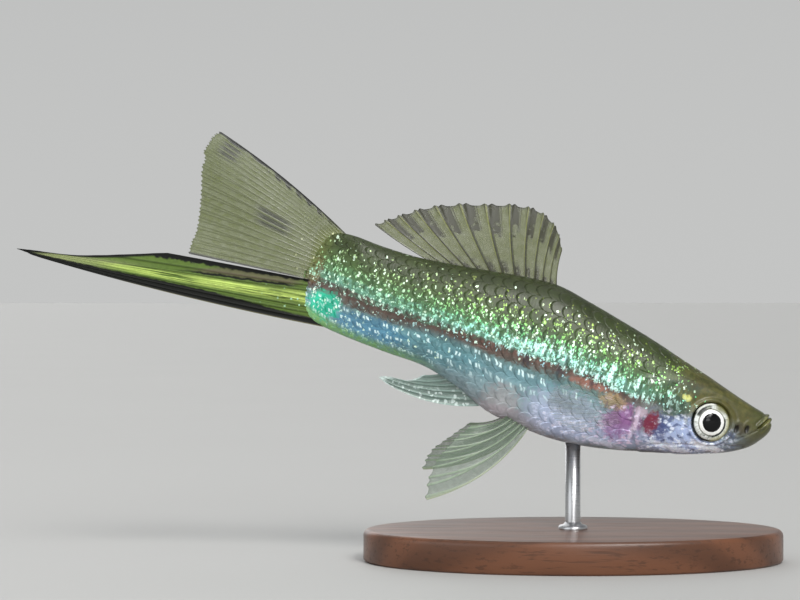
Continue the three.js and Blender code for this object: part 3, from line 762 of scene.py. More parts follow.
@cache
def markings_group():
    """The fish's colours over the fish frame: olive back, a band of green and cyan flecks
    over a dusky red-brown stripe, blue-grey flank, pale belly, and soft patches. Scale
    pieces add their own values, coat, along, across and luck; the skin has none of them."""
    graph, _, out = new_group("swordtail markings", {}, {
        "Color": "Color", "Flecks": "Float", "Roughness": "Float", "Height": "Float"})
    place, station, height = fish_frame(graph)
    luck, along, coat, across, girth = graph.attributes("luck", "along", "coat", "across", "girth")
    soft = graph.noise(place, 0.35, 3.0)
    fine = graph.noise(place, 1.6, 3.0, 0.6)
    sag = station.span(20.0, 32.0, -1.2, 0.0)
    lift = station.span(62.0, 76.0, 0.0, 1.0)
    stripe = sag + lift + (fine.span(0.3, 0.7, -0.4, 0.4) - 2.2)
    over = height - (stripe - abs(across) * coat * 0.6)
    paint = ground_paint(graph, place, station, height, over, fine)

    # Scale net: a dark rear margin, strongest on the back and faint on the belly
    margin = coat * along.span(0.84, 0.98)
    share = over.span(-3.0, 4.0, 0.1, 0.28) * girth.span(0.9, 0.75, 0.2, 1.0) * station.span(9.0, 17.0)
    paint.tint(margin * share, "scale net")
    tone = soft.span(0.25, 0.75, 0.78, 1.12) + luck.span(0.0, 1.0, -0.08, 0.1)
    tone = tone * fine.span(0.25, 0.75, 0.85, 1.12)
    paint.colour = graph.mix(1.0, paint.colour, graph.join(tone, tone, tone), "MULTIPLY")

    # Dark marks that cross the stripe in front
    bars = ((station * 1.15).sine().span(0.55, 0.95) * over.between(-1.3, 2.2, 0.6)
            * station.between(24.0, 42.0, 2.0) * fine.span(0.35, 0.55))
    paint.tint(bars * 0.75, "bar")

    # Dark green gaps between upright flames over the stripe in front
    flame = graph.noise(graph.stretched(place, 1.5, 0.42, 1.0), 1.0, 3.0, 0.6)
    gaps = flame.span(0.49, 0.38) * over.between(0.2, 5.4, 0.8) * station.between(12.0, 44.0, 3.0)
    paint.tint(gaps * 0.62, "gap")
    flecks, shine = fleck_layer(graph, place, station, over, fine)
    paint.lay(flecks * 0.95, shine)

    # Glow of the cyan band itself, broken into patches
    band = (over.between(0.9, 2.6, 0.5) * fine.span(0.42, 0.58) * station.span(14.0, 24.0)
            * station.span(38.0, 58.0, 0.85, 0.15) * highest(along.between(0.5, 0.84, 0.07), coat * 0.2))
    paint.tint(band, "band")
    flames = (flame.span(0.52, 0.6) * over.between(0.3, 3.6, 0.6) * station.between(16.0, 44.0, 4.0)
              * fine.span(0.35, 0.5) * 0.9)
    paint.tint(flames, "flame")
    pair = stroke_layer(graph, place, station, over, fine)
    paint.tint(pair, "stroke")

    # The green edge under the tail, the silver, and the patches that lie over it
    rear_edge = girth.span(0.84, 0.93) * station.span(50.0, 60.0) * fine.span(0.3, 0.6, 0.4, 0.9)
    paint.tint(rear_edge, "rear edge")
    silver = lay_silver(paint, place, station, height, fine, flame, girth)
    lay_patches(paint, station, height, OVER_PATCHES, (graph.noise(place, 1.1, 3.0, 0.7) - 0.5) * 3.2)

    # Painted shade: a dark line along the gill cover's rear edge, and dark nostril pits
    from_gill = graph.math("SQRT", squared_away(station, height, GILL_AT))
    slit = (from_gill.between(GILL_RADIUS - 0.05, GILL_RADIUS + 0.3, 0.2) * height.between(-9.6, 0.4, 1.0)
            * (station - float(GILL_AT[0])).span(2.0, 5.0))
    paint.tint(slit * 0.2, "gill edge shadow")
    for nostril in NOSTRILS:
        away = squared_away(station, height, nostril, (0.36, 0.72))
        paint.tint(away.span(1.3, 0.5, 0.0, 0.9), "nostril")

    bright = highest(flecks, pair, silver, flames)
    graph.feed(out["Color"], paint.colour)
    graph.feed(out["Flecks"], bright)
    graph.feed(out["Roughness"], soft.span(0.2, 0.8, 0.36, 0.46) - bright * 0.14)
    graph.feed(out["Height"], fine * 0.6 + bright * 0.5)
    return graph.tree


def marked_material(name, metallic, glow, rings, bump, **sockets):
    """A material of the shared markings, with a share of metal and of glow in the bright
    marks, and growth rings of a height in the bump."""
    material, graph, shader = new_material(name, Subsurface_Scale=0.0008, Emission_Strength=glow, **sockets)
    marks = graph.group(markings_group())[1]
    graph.feed(shader["Base Color"], marks["Color"])
    graph.feed(shader["Roughness"], marks["Roughness"])
    graph.feed(shader["Metallic"], marks["Flecks"] * metallic)
    # Painted glow: the bright marks give off light in their own colour, at the glow strength
    graph.feed(shader["Emission Color"], graph.mix(marks["Flecks"], (0.0, 0.0, 0.0), marks["Color"]))
    growth = (graph.attributes("along")[0] * 46.0).sine() * rings
    graph.feed(shader["Normal"], graph.bump(marks["Height"] + growth, bump, 0.00008))
    return material


@cache
def skin_material():
    """Wet skin: the markings under a clear coat."""
    return marked_material("wet skin", 0.35, 0.22, 0.0, 0.35, Coat_Weight=0.25, Coat_Roughness=0.2,
                           Subsurface_Weight=0.05, Specular_IOR_Level=0.4)


@cache
def scale_material():
    """Scales: the markings, with growth rings over each scale."""
    return marked_material("scales", 0.4, 0.25, 0.12, 0.3, Coat_Weight=0.15, Coat_Roughness=0.25,
                           Subsurface_Weight=0.04, Specular_IOR_Level=0.35)


# Fins

def smooth_path(points, t):
    """A centripetal Catmull-Rom curve through points, at t from 0 to 1: between two points
    the knots are the fourth roots of the squared distances."""
    points = np.asarray(points, float)
    padded = np.concatenate([[2 * points[0] - points[1]], points, [2 * points[-1] - points[-2]]])
    place = np.clip(t, 0.0, 1.0) * (len(points) - 1)
    first = np.clip(np.floor(place).astype(int), 0, len(points) - 2)
    part = (place - first)[..., None]
    p0, p1, p2, p3 = (padded[first + k] for k in range(4))
    d0, d1, d2 = (np.sum((b - a) ** 2, -1, keepdims=True) ** 0.25
                  for a, b in ((p0, p1), (p1, p2), (p2, p3)))
    slope1 = ((p1 - p0) / d0 - (p2 - p0) / (d0 + d1) + (p2 - p1) / d1) * d1
    slope2 = ((p2 - p1) / d1 - (p3 - p1) / (d1 + d2) + (p3 - p2) / d2) * d1
    return cubic(p1, p2, slope1, slope2, part)


def ray_profile(offset, v, split, spread, width):
    """Height of a ray over the membrane, 0 to 1, at an offset in ray pitches: one rounded
    rod that forks past split into two that part by up to spread on each side."""
    fork = spread * step(split, 1.0, v)
    thin = width * (1.0 - 0.45 * v)
    rods = np.maximum(bell(offset - fork, thin), bell(offset + fork, thin))
    return rods * (1.0 - 0.35 * v)


def twice(grid):
    """One value for each vertex of both faces of a fin."""
    return np.concatenate([grid.ravel(), grid.ravel()])


def build_fin(node, material, root, tip, bow, rays, split=0.55, spread=0.2, width=0.13, film=1.0,
              rod=1.0, scallop=0.02, wave=0.0, per_ray=14, rows=90, slot="fin_membrane"):
    """A fin plate: points root + (tip - root) v + bow 4v(1 - v), with both faces pushed out
    along the normal by half the film plus the ray profile. The margin falls back between
    the rays by scallop, and wave ripples it along the normal. Film and rod are shares of
    the thicknesses in the settings."""
    film, rod = settings("fins").film * film, settings("fins").rod * rod
    draw = np.random.default_rng(SEED)
    t = np.linspace(0.0, 1.0, (rays - 1) * per_ray + 1)
    v = np.linspace(0.0, 1.0, rows + 1)
    offset = (t * (rays - 1) + 0.5) % 1.0 - 0.5
    lengths = np.interp(t * (rays - 1), np.arange(rays), 1.0 + draw.uniform(-0.012, 0.008, rays))
    ray_ends = np.maximum(bell(offset - spread, 0.12), bell(offset + spread, 0.12))
    reach = lengths * (1.0 - scallop * (1.0 - ray_ends))
    tt, vv = np.meshgrid(t, v, indexing="ij")
    offsets = offset[:, None] + 0 * vv
    along = vv * reach[:, None]
    push = np.asarray(bow[0]) + (np.asarray(bow[1]) - np.asarray(bow[0])) * tt[..., None]
    start, end = smooth_path(root, tt), smooth_path(tip, tt)
    points = start + (end - start) * along[..., None] + push * (4 * along * (1 - along))[..., None]
    normal = unit(np.cross(np.gradient(points, axis=0), np.gradient(points, axis=1)))

    # The first and the last ray are thicker and do not fork
    ray = ray_profile(offsets, vv, split, spread, width)
    outer = (tt < 0.5 / (rays - 1)) | (tt > 1.0 - 0.5 / (rays - 1))
    ray = np.where(outer, np.maximum(ray, bell(offsets, width * 1.3) * (1 - 0.4 * vv)), ray)
    ripple = wave * np.sin(7.0 * tt + 3.2 * vv) * vv ** 1.5
    thick = film / 2 * (1.0 - 0.5 * vv ** 3) + rod * ray * (1.0 - 0.55 * vv) * step(-0.02, 0.16, vv)
    middle = points + normal * ripple[..., None]
    faces = np.stack([middle + normal * thick[..., None], middle - normal * thick[..., None]])

    # Two faces of the same grid, and a wall round the rim between them
    wide, tall = tt.shape
    count = wide * tall
    index = np.arange(count).reshape(wide, tall)
    rim = np.concatenate([index[:, 0], index[-1, 1:], index[-2::-1, -1], index[0, -2:0:-1]])
    other = np.roll(rim, -1)
    wall = np.stack([rim, other, other + count, rim + count], -1)
    front = grid_quads(wide, tall)
    quads = np.concatenate([front[:, ::-1], front + count, wall])
    values = {"ray": twice(ray), "across": twice(tt), "along": twice(vv), "offset": twice(offsets)}
    maps = {"fin": np.stack([values["across"], values["along"]], -1)}
    vertices = to_part(faces.reshape(-1, 3))
    piece = make_piece(node + "_dressed", vertices, quads, material, values=values, maps=maps, slot=slot)
    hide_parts(node)


@cache
def fin_tissue_group():
    """Thin fin tissue: the film with soft cloudy specks, and rays broken into joints."""
    graph, given, out = new_group("fin tissue", {
        "Film": ("Color", (0.2, 0.2, 0.1, 1.0)), "Ray": ("Color", (0.05, 0.05, 0.03, 1.0)),
        "Film Alpha": ("Float", 0.3), "Ray Alpha": ("Float", 0.9), "Joints": ("Float", 60.0),
    }, {"Color": "Color", "Alpha": "Float", "Height": "Float"})
    place, _, _ = fish_frame(graph)
    ray, along = graph.attributes("ray", "along")
    soft = graph.noise(place, 0.8, 3.0, 0.6)
    distance, pick, _, _ = graph.cells(place, 5.0)
    dust = distance.span(0.24, 0.12) * pick.span(0.6, 0.7)
    joint = (along * given["Joints"]).sine().span(0.9, 1.0)
    solid = ray.span(0.12, 0.55)
    colour = graph.mix(soft * 0.6, given["Film"], graph.mix(0.45, given["Film"], given["Ray"]))
    colour = graph.mix(solid, colour, given["Ray"])
    colour = graph.mix(joint * solid * 0.35, colour, given["Film"])
    film = given["Film Alpha"] * soft.span(0.2, 0.8, 0.8, 1.2) + dust * 0.3
    graph.feed(out["Color"], graph.mix(dust * 0.7, colour, given["Ray"]))
    graph.feed(out["Alpha"], film + solid * (given["Ray Alpha"] - film))
    graph.feed(out["Height"], soft - joint * solid)
    return graph.tree


# Sockets that every fin has, apart from those that the sword sets for itself
WET_FIN = {"Coat_Weight": 0.35, "Coat_Roughness": 0.18, "Specular_IOR_Level": 0.5, "Roughness": 0.36}


class FinPaint(Paint):
    """A fin's material while its marks are laid on: the colour and the alpha so far, and
    the fin's own values, across and along it and off the nearest ray."""

    def __init__(self, name, film, ray, film_alpha, ray_alpha, joints, **sockets):
        self.material, graph, self.shader = new_material(name, **(WET_FIN | sockets))
        tissue, made = graph.group(fin_tissue_group())
        for key, value in (("Film", linear(film)), ("Ray", linear(ray)), ("Film Alpha", film_alpha),
                           ("Ray Alpha", ray_alpha), ("Joints", joints)):
            graph.feed(tissue[key], value)
        graph.feed(self.shader["Normal"], graph.bump(made["Height"], 0.3, 0.00006))
        super().__init__(graph, made["Color"])
        self.alpha = made["Alpha"]
        self.across, self.along, self.offset = graph.attributes("across", "along", "offset")
        self.place, _, _ = fish_frame(graph)

    def cover(self, mask, tone=(16, 18, 10), solid=0.95):
        """Lays a colour over the fin where the mask is 1, and makes it solid there."""
        self.tint(mask, tone)
        self.alpha = highest(self.alpha, mask * solid)

    def dots(self, scale, share, size):
        """Round dots in a share of random cells, of an outer and an inner radius."""
        distance, pick, _, _ = self.graph.cells(self.place, scale)
        return distance.span(*size) * pick.span(share, share + 0.05)

    def finish(self):
        """Feeds the shader and gives the material."""
        self.graph.feed(self.shader["Base Color"], self.colour)
        self.graph.feed(self.shader["Alpha"], self.graph.math("MINIMUM", self.alpha, 1.0))
        return self.material


@cache
def dorsal_material():
    """Clear olive film, dark rays, and dark blotches between the rays in two rows."""
    fin = FinPaint("dorsal fin", (98, 106, 46), (34, 36, 14), 0.62, 0.95, 70.0)
    across, along, offset = fin.across, fin.along, fin.offset
    cloud = fin.graph.noise(fin.place, 0.7, 3.0, 0.65)
    moved = along + (cloud - 0.5) * 0.7
    rows = highest(moved.between(0.04, 0.24, 0.04), moved.between(0.66, 1.1, 0.05) * across.span(0.96, 0.9))
    fin.cover(rows * offset.between(-0.46, 0.04, 0.05) * cloud.span(0.3, 0.5, 0.6, 0.95), (40, 40, 16), 1.0)
    fin.cover(offset.between(0.07, 0.13, 0.035) * along.span(0.1, 0.5, 0.2, 0.7), (142, 146, 78), 0.85)
    fin.cover(highest(across.span(0.012, 0.004), along.span(0.96, 0.99, 0.0, 0.5)), (30, 32, 12))
    return fin.finish()


@cache
def caudal_material():
    """Clear olive film, faint rays, a dark stepped upper edge and two groups of streaks."""
    fin = FinPaint("caudal fin", (98, 108, 46), (80, 88, 36), 0.62, 0.74, 90.0)
    across, along = fin.across, fin.along
    edge = (across + (along * 34.0).sine() * 0.01).span(0.042, 0.022)
    upper = across.between(0.03, 0.24, 0.02) * along.between(0.8, 0.93, 0.04)
    middle = across.between(0.44, 0.6, 0.03) * along.between(0.3, 0.56, 0.06)
    streaks = highest(upper, middle) * abs(fin.offset).span(0.1, 0.26) * 0.85
    dashes = (along * 78.0 + across * 60.0).sine().span(-0.2, 0.3)
    near = across.span(0.095, 0.07) * along.between(0.07, 0.6, 0.05) * dashes * 0.9
    fin.cover(highest(edge, streaks, across.span(0.975, 0.995), near))
    fin.cover(along.span(0.26, 0.03) * across.span(0.02, 0.06, 0.3, 1.0), FIN_OLIVE, 1.0)
    fin.cover(fin.dots(1.1, 0.55, (0.22, 0.12)) * along.span(0.34, 0.1), (214, 220, 170), 0.9)
    return fin.finish()


@cache
def sword_material():
    """Yellow-green streaks between a thin dark upper edge and a broad black lower one."""
    fin = FinPaint("sword", (92, 116, 50), (62, 80, 30), 0.95, 0.98, 120.0,
                   Roughness=0.5, Coat_Weight=0.0, Specular_IOR_Level=0.2)
    across, along = fin.across, fin.along
    streaks = fin.graph.noise(fin.graph.join(across * 26.0, along * 5.0), 1.0, 3.0, 0.6)
    glow = streaks.span(0.36, 0.56) * across.between(0.3, 0.56, 0.07) * along.span(0.95, 0.6)
    fin.tint(glow, (188, 212, 110))
    fin.tint(abs(fin.offset).span(0.34, 0.48) * along.span(0.7, 0.3) * 0.6, (48, 66, 22))
    fin.tint(along.span(0.62, 0.86) * across.between(0.22, 0.74, 0.1) * 0.7, (150, 156, 112))
    level = across + (fin.graph.noise(fin.place, 0.9, 2.0) - 0.5) * 0.08
    fin.tint(level.between(0.05, 0.17, 0.02) * along.between(0.1, 0.55, 0.05) * 0.6, (98, 82, 74))
    dots = fin.dots(1.3, 0.4, (0.28, 0.16)) * along.span(0.24, 0.04) * across.between(0.18, 0.72, 0.04)
    fin.tint(dots, (184, 232, 196))

    # Dark lines along the upper part, the broad lower edge and the tip
    top = level.span(0.072, 0.045)
    second = level.between(0.16, 0.21, 0.02) * along.span(0.62, 0.48) * along.span(0.06, 0.14)
    third = level.between(0.47, 0.5, 0.02) * along.between(0.05, 0.4, 0.06) * 0.6
    bottom = (level - along.span(0.0, 0.5, 0.82, 0.63)).span(0.0, 0.05)
    fin.cover(highest(top, second, bottom, third, along.span(0.9, 0.96)), (10, 12, 8), 1.0)
    fin.tint(across.span(0.972, 0.99) * along.span(0.8, 0.6) * 0.6, (120, 116, 84))
    return fin.finish()


@cache
def pelvic_material():
    """Grey-green film with pale rays."""
    fin = FinPaint("pelvic fin", (82, 104, 84), (128, 146, 122), 0.42, 0.8, 60.0)
    fin.cover(fin.across.span(0.05, 0.0) * 0.8, (140, 148, 116), 0.9)
    return fin.finish()


@cache
def pectoral_material():
    """A nearly clear film with fine rays."""
    return FinPaint("pectoral fin", (160, 170, 150), (120, 128, 100), 0.05, 0.2, 60.0).finish()


@cache
def gonopodium_material():
    """Pale blue-grey, with silvery rays and a pale tip."""
    fin = FinPaint("gonopodium", (84, 108, 98), (128, 150, 142), 0.8, 0.95, 50.0)
    distance, pick, _, _ = fin.graph.cells(fin.graph.bent(fin.place, 1.5, 0.8), 1.7)
    chip = pick.span(0.45, 0.6) * distance.span(0.6, 0.3)
    fin.tint(highest(chip * fin.across.span(0.6, 0.3), fin.along.span(0.9, 0.98)) * 0.8, (206, 222, 218))
    return fin.finish()


# Sizes and colours that a user would change

class SwordtailCoat(bpy.types.PropertyGroup):
    """The scale coat."""
    rows: IntProperty(name="Rows", description="Rows of scales from back to belly", default=12, min=6, max=20)
    pitch: FloatProperty(name="Pitch", description="Spacing of the scales along the body, in mm",
                         default=2.08, min=1.0, max=4.0)
    lift: FloatProperty(name="Lift", description="How far a scale's rear edge stands up, in mm",
                        default=0.055, min=0.02, max=0.4)
    depth: FloatProperty(name="Depth", description="How far the skin lies under the solids, in mm",
                         default=0.15, min=0.05, max=0.5)


class SwordtailFins(bpy.types.PropertyGroup):
    """The fins."""
    film: FloatProperty(name="Film", description="Thickness of the fin membranes, in mm",
                        default=0.13, min=0.05, max=0.5)
    rod: FloatProperty(name="Ray height", description="How far a ray stands over the membrane, in mm",
                       default=0.17, min=0.05, max=0.4)


class SwordtailStand(bpy.types.PropertyGroup):
    """The display stand and the studio."""
    wood: FloatVectorProperty(name="Wood", description="Colour of the base's wood", subtype="COLOR",
                              size=3, default=linear((84, 52, 34)), min=0.0, max=1.0)
    edge: FloatProperty(name="Edge", description="Rounding of the base's rim, in mm",
                        default=0.9, min=0.2, max=2.0)
    floor: FloatVectorProperty(name="Floor", description="Colour of the studio floor", subtype="COLOR",
                               size=3, default=(0.46, 0.46, 0.45), min=0.0, max=1.0)


def settings(key):
    """The sizes and colours of the coat, the fins or the stand in the scene."""
    return getattr(bpy.context.scene, "swordtail_" + key)


# Skin and scales

SKIN_AROUND = 250
HEAD_RINGS, BODY_RINGS = 190, 150
HEAD_END = 23.5
SKIN_END_GAP = 0.03


class SWORDTAIL_OT_skin(bpy.types.Operator):
    """Build one skin over head, trunk and tail stalk"""
    bl_idname = "swordtail.skin"
    bl_label = "Skin"

    def execute(self, context):
        # The rings lie closer together on the head, and most of all at the mouth
        head_end = float(row_at(HEAD_END))
        u = np.concatenate([
            SKIN_END_GAP + (head_end - SKIN_END_GAP) * np.linspace(0, 1, HEAD_RINGS) ** 1.25,
            np.linspace(head_end, LAST_ROW - SKIN_END_GAP, BODY_RINGS + 1)[1:],
        ])
        ring = np.arange(SKIN_AROUND) / SKIN_AROUND * 2.0
        left = ring <= 1.0
        uu, shares = np.meshgrid(u, np.where(left, ring, 2.0 - ring), indexing="ij")
        ways = np.broadcast_to(np.where(left, 1.0, -1.0), uu.shape)
        points, normals = surface(uu, shares, ways)
        relief = skin_relief(points[..., 0], points[..., 1], settings("coat").depth)
        points = points + normals * relief[..., None]
        values = {"girth": with_poles(shares)}
        skin = closed_tube(to_part(points), "skin", skin_material(), values=values, slot="skin")
        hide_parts("head", "trunk", "tail_stalk")
        return {"FINISHED"}


# The columns of scales: number, first and last station, and how fast the pitch shrinks
SCALE_COLUMNS = 64
FIRST_SCALE, LAST_SCALE = 9.0, 73.8
PITCH_FALL = 0.0035

# One scale: its grid, length in pitches, half width in rows, the level of its rim in mm,
# and the spread of its random shift
SCALE_ACROSS, SCALE_ALONG = 11, 9
SCALE_LENGTH = 1.9
SCALE_HALF = 0.62
SCALE_RIM = -0.06
SCALE_JITTER = 0.03


def scale_roots(coat):
    """Station and girth share of every scale's root on one side: rows from back to belly,
    each second row shifted by half a pitch, the pitch shrinking towards the tail. A scale
    stays when its root lies behind the gill cover and before the tail's end."""
    columns = np.arange(SCALE_COLUMNS)
    stations = FIRST_SCALE + coat.pitch * (columns - PITCH_FALL * columns ** 2)
    row, column = np.meshgrid(np.arange(coat.rows), columns, indexing="ij")
    station = np.interp(column + 0.5 * (row % 2), columns, stations).ravel()
    share = ((row + 0.5) / coat.rows).ravel()
    points, _ = surface(row_at(station), share, np.ones_like(share))
    behind_gill = away_from(GILL_AT, points[:, 0], points[:, 1]) > GILL_RADIUS - 1.1
    nape = (points[:, 1] > 0.5) & (coat_share(points[:, 0], points[:, 1]) > 0.12)
    keep = (behind_gill | nape) & (station < LAST_SCALE)
    return station[keep], share[keep]


def build_scales(way, coat):
    """The scales of one side. Each is a small grid on the body's surface, straight in front
    and round behind, rising from its root by lift x along^0.8, with its rim turned down
    into the skin."""
    station, share = scale_roots(coat)
    draw = np.random.default_rng(SEED + (way > 0))
    luck = draw.uniform(0.0, 1.0, len(station))
    jitter = draw.normal(0.0, SCALE_JITTER, (2, len(station), 1, 1))
    across = np.concatenate([[-1.0], np.linspace(-1, 1, SCALE_ACROSS), [1.0]])
    along = np.concatenate([np.linspace(0, 1, SCALE_ALONG), [1.0]])
    a, b = np.meshgrid(across, along, indexing="ij")
    rim = np.zeros_like(a, bool)
    rim[[0, -1], :] = True
    rim[:, -1] = True
    length = coat.pitch * SCALE_LENGTH * np.interp(station, [10, 74], [1.0, 0.8])
    half = SCALE_HALF / coat.rows
    end = 0.36 + 0.64 * np.sqrt(np.maximum(1.0 - 0.97 * a ** 2, 0.0))
    u = row_at(station[:, None, None] + (b * end * length[:, None, None] + jitter[0]))

    # Shares past the back or the belly carry on over the other side
    shares = share[:, None, None] + (a * half * (0.9 + 0.1 * b) + jitter[1] * half)
    ways = np.where((shares < 0.0) | (shares > 1.0), -way, way)
    shares = np.abs(shares)
    shares = np.where(shares > 1.0, 2.0 - shares, shares)
    points, normals = surface(u, shares, ways)
    covered = np.maximum(coat_share(points[..., 0], points[..., 1]), points[..., 1] < 0.5)
    grow = np.interp(points[..., 0], [10, 20, 60, 76], [0.6, 1.0, 1.0, 0.5])
    grow = grow * (1.0 - 0.75 * step(0.5, 0.72, shares) - 0.6 * step(0.36, 0.16, shares))
    lift = coat.lift * b ** 0.8 * (1.0 - 0.3 * a ** 2) * grow * covered
    lift = np.where(rim, SCALE_RIM, lift) - coat.depth * covered
    points = points + normals * lift[..., None]

    count, wide, tall = shares.shape
    each = wide * tall
    quads = (grid_quads(wide, tall) + (np.arange(count) * each)[:, None, None]).reshape(-1, 4)
    values = {"luck": luck[:, None, None], "along": b * end, "across": a, "coat": 1.0, "girth": shares}
    values = {key: np.broadcast_to(value, shares.shape).ravel() for key, value in values.items()}

    # Each scale has a patch of its own in the bake map
    corner = np.stack([station / 80.0, 0.5 + way * share * 0.45], -1)
    patch = np.stack([b.ravel() * 0.003, a.ravel() * 0.0015], -1)
    bake = np.repeat(corner, each, axis=0) + np.tile(patch, (count, 1))
    if way < 0:
        quads = quads[:, ::-1]
    return points, quads, values, bake


class SWORDTAIL_OT_scales(bpy.types.Operator):
    """Lay the scales over the skin, one piece for each side"""
    bl_idname = "swordtail.scales"
    bl_label = "Scales"

    def execute(self, context):
        for name, way in (("scales_left", 1.0), ("scales_right", -1.0)):
            points, quads, values, bake = build_scales(way, settings("coat"))
            make_piece(name, to_part(points.reshape(-1, 3)), quads, scale_material(), values=values,
                       maps={"OFBake": bake}, slot="skin")
        return {"FINISHED"}


# Eyes

EYE_RINGS, EYE_AROUND = 110, 96
LENS_BULGE = 0.2
DISH_AT, DISH_DEPTH = 2.05, 0.07
IRIS_STOPS = (
    (0.0, (3, 3, 4)), (0.455, (3, 3, 4)), (0.475, (40, 40, 38)), (0.495, (250, 251, 248)),
    (0.64, (246, 247, 242)), (0.66, (124, 126, 118)), (0.69, (150, 152, 146)), (0.72, (236, 240, 236)),
    (0.88, (228, 232, 228)), (0.92, (40, 44, 34)), (1.0, (24, 28, 18)),
)


@cache
def eye_material():
    """A black pupil, a thin bright ring, dark arcs, a silver iris with a dark rim, and a painted highlight on
    the rim's upper rear.
    """
    material, graph, shader = new_material(
        "eye", Coat_Weight=0.2, Coat_Roughness=0.03, Specular_IOR_Level=0.2)
    place, station, height = fish_frame(graph)
    ds, dh = station - float(EYE_AT[0]), height - float(EYE_AT[1])
    angle = graph.math("ARCTAN2", dh, ds)
    fine = graph.noise(place, 2.6, 3.0, 0.6)
    share = (graph.math("SQRT", ds * ds + dh * dh) + (fine - 0.5) * 0.16) / EYE_RADIUS
    forward = graph.math("COSINE", angle - 0.35).span(-0.45, -0.7)
    paint = Paint(graph, share.ramp(IRIS_STOPS))
    paint.tint(forward * share.span(0.74, 0.8) * 0.6, (200, 198, 150))
    under = angle.between(-2.3, -1.1, 0.2) * share.between(0.66, 0.8, 0.03) * fine.span(0.42, 0.56) * 0.8
    paint.tint(under, (80, 84, 76))
    wedge = angle.between(0.15, 1.3, 0.1) * share.between(0.69, 0.87, 0.02)
    paint.tint(highest(wedge, forward * share.between(0.66, 0.75, 0.02)) * 0.95, (14, 14, 13))
    # Painted highlight: a pale arc on the upper rear of the rim
    paint.tint(angle.between(0.35, 1.5, 0.15) * share.between(0.9, 0.97, 0.02), (236, 238, 230))
    lines = graph.noise(graph.join(angle * 9.0, share * 2.0), 1.0, 2.0)
    paint.tint(share.between(0.66, 0.9, 0.03) * lines.span(0.5, 0.7) * 0.5, (96, 104, 84))
    paint.tint(dh.span(1.3, 2.4) * share.span(0.62, 0.75) * ds.span(0.5, -0.5) * 0.85, (112, 112, 64))
    graph.feed(shader["Base Color"], paint.colour)
    graph.feed(shader["Metallic"], share.between(0.49, 0.9, 0.02) * 0.12)
    graph.feed(shader["Roughness"], share.span(0.45, 0.5, 0.06, 0.24))
    graph.feed(shader["Normal"], graph.bump(lines, 0.12, 0.00005))
    return material


class SWORDTAIL_OT_eyes(bpy.types.Operator):
    """Set the two eyes into their pits"""
    bl_idname = "swordtail.eyes"
    bl_label = "Eyes"

    def execute(self, context):
        # A flattened ball, whose outer half bulges over the pupil and dips a little round it
        lean = np.linspace(0.02, np.pi - 0.02, EYE_RINGS)[:, None]
        turn = np.linspace(0.0, 2 * np.pi, EYE_AROUND, endpoint=False)[None, :]
        radius = EYE_RADIUS * np.sin(lean) + 0 * turn
        station = EYE_AT[0] + radius * np.cos(turn)
        height = EYE_AT[1] + radius * np.sin(turn)
        lens = LENS_BULGE * np.sqrt(np.clip(1.0 - (radius / PUPIL_RADIUS) ** 2, 0.0, 1.0))
        dish = -DISH_DEPTH * bell(radius - DISH_AT, 0.28)
        out = EYE_DEPTH * np.cos(lean) * 0.93 + np.where(np.cos(lean) > 0, lens + dish, 0.0)
        side = side_at(*EYE_AT) - EYE_SUNK + out + EYE_LEAN * (station - EYE_AT[0])
        for name, node, way in (("eyeball_left", "eye_left", 1.0), ("eyeball_right", "eye_right", -1.0)):
            points = to_part(np.stack([station, height, way * side], -1))
            piece = closed_tube(points, name, eye_material(), slot="eye")
            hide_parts(node)
        return {"FINISHED"}


# Fin operators

def flat_line(points):
    """Station and height pairs as fish points in the middle plane."""
    return [(station, height, 0.0) for station, height in points]


class SWORDTAIL_OT_dorsal(bpy.types.Operator):
    """Build the dorsal fin"""
    bl_idname = "swordtail.dorsal"
    bl_label = "Dorsal fin"

    def execute(self, context):
        root = flat_line([(37.9, 8.8), (43.0, 8.6), (49.5, 7.6), (55.6, 6.8)])
        tip = flat_line([(39.3, 15.6), (41.2, 18.6), (44.6, 20.5), (49.5, 19.9),
                         (56.0, 17.9), (62.0, 15.3), (66.0, 12.6), (68.9, 10.3)])
        bow = ((0.35, -0.25, 0.0), (0.35, -0.25, 0.0))
        build_fin("dorsal_fin", dorsal_material(), root, tip, bow, rays=13, wave=0.22, scallop=0.03,
                  width=0.09, spread=0.14, split=0.65)
        return {"FINISHED"}


class SWORDTAIL_OT_tail(bpy.types.Operator):
    """Build the caudal fin and the sword under it"""
    bl_idname = "swordtail.tail"
    bl_label = "Caudal fin and sword"

    def execute(self, context):
        root = flat_line([(71.6, 7.0), (74.0, 5.6), (74.6, 2.5), (74.2, -1.0)])
        tip = flat_line([(96.4, 16.7), (97.8, 14.2), (97.3, 10.5), (96.2, 5.5), (95.2, 0.8), (95.2, -3.2)])
        bow = ((0.0, 0.75, 0.0), (0.0, 0.0, 0.0))
        build_fin("caudal_fin", caudal_material(), root, tip, bow, rays=19, wave=0.2, scallop=0.012,
                  width=0.12, rod=0.5, split=0.4)
        root = flat_line([(74.2, -1.0), (74.0, -3.2), (73.2, -5.4), (71.4, -7.6)])
        tip = flat_line([(98.4, -4.1), (112.0, -8.9), (119.6, -10.4), (121.0, -10.75),
                         (119.4, -10.95), (117.0, -11.0)])
        bow = ((0.0, 0.05, 0.0), (0.0, -0.55, 0.0))
        build_fin("sword", sword_material(), root, tip, bow, rays=9, scallop=0.004, width=0.17, film=2.2,
                  split=0.9, per_ray=16, rows=150, slot="sword")
        return {"FINISHED"}


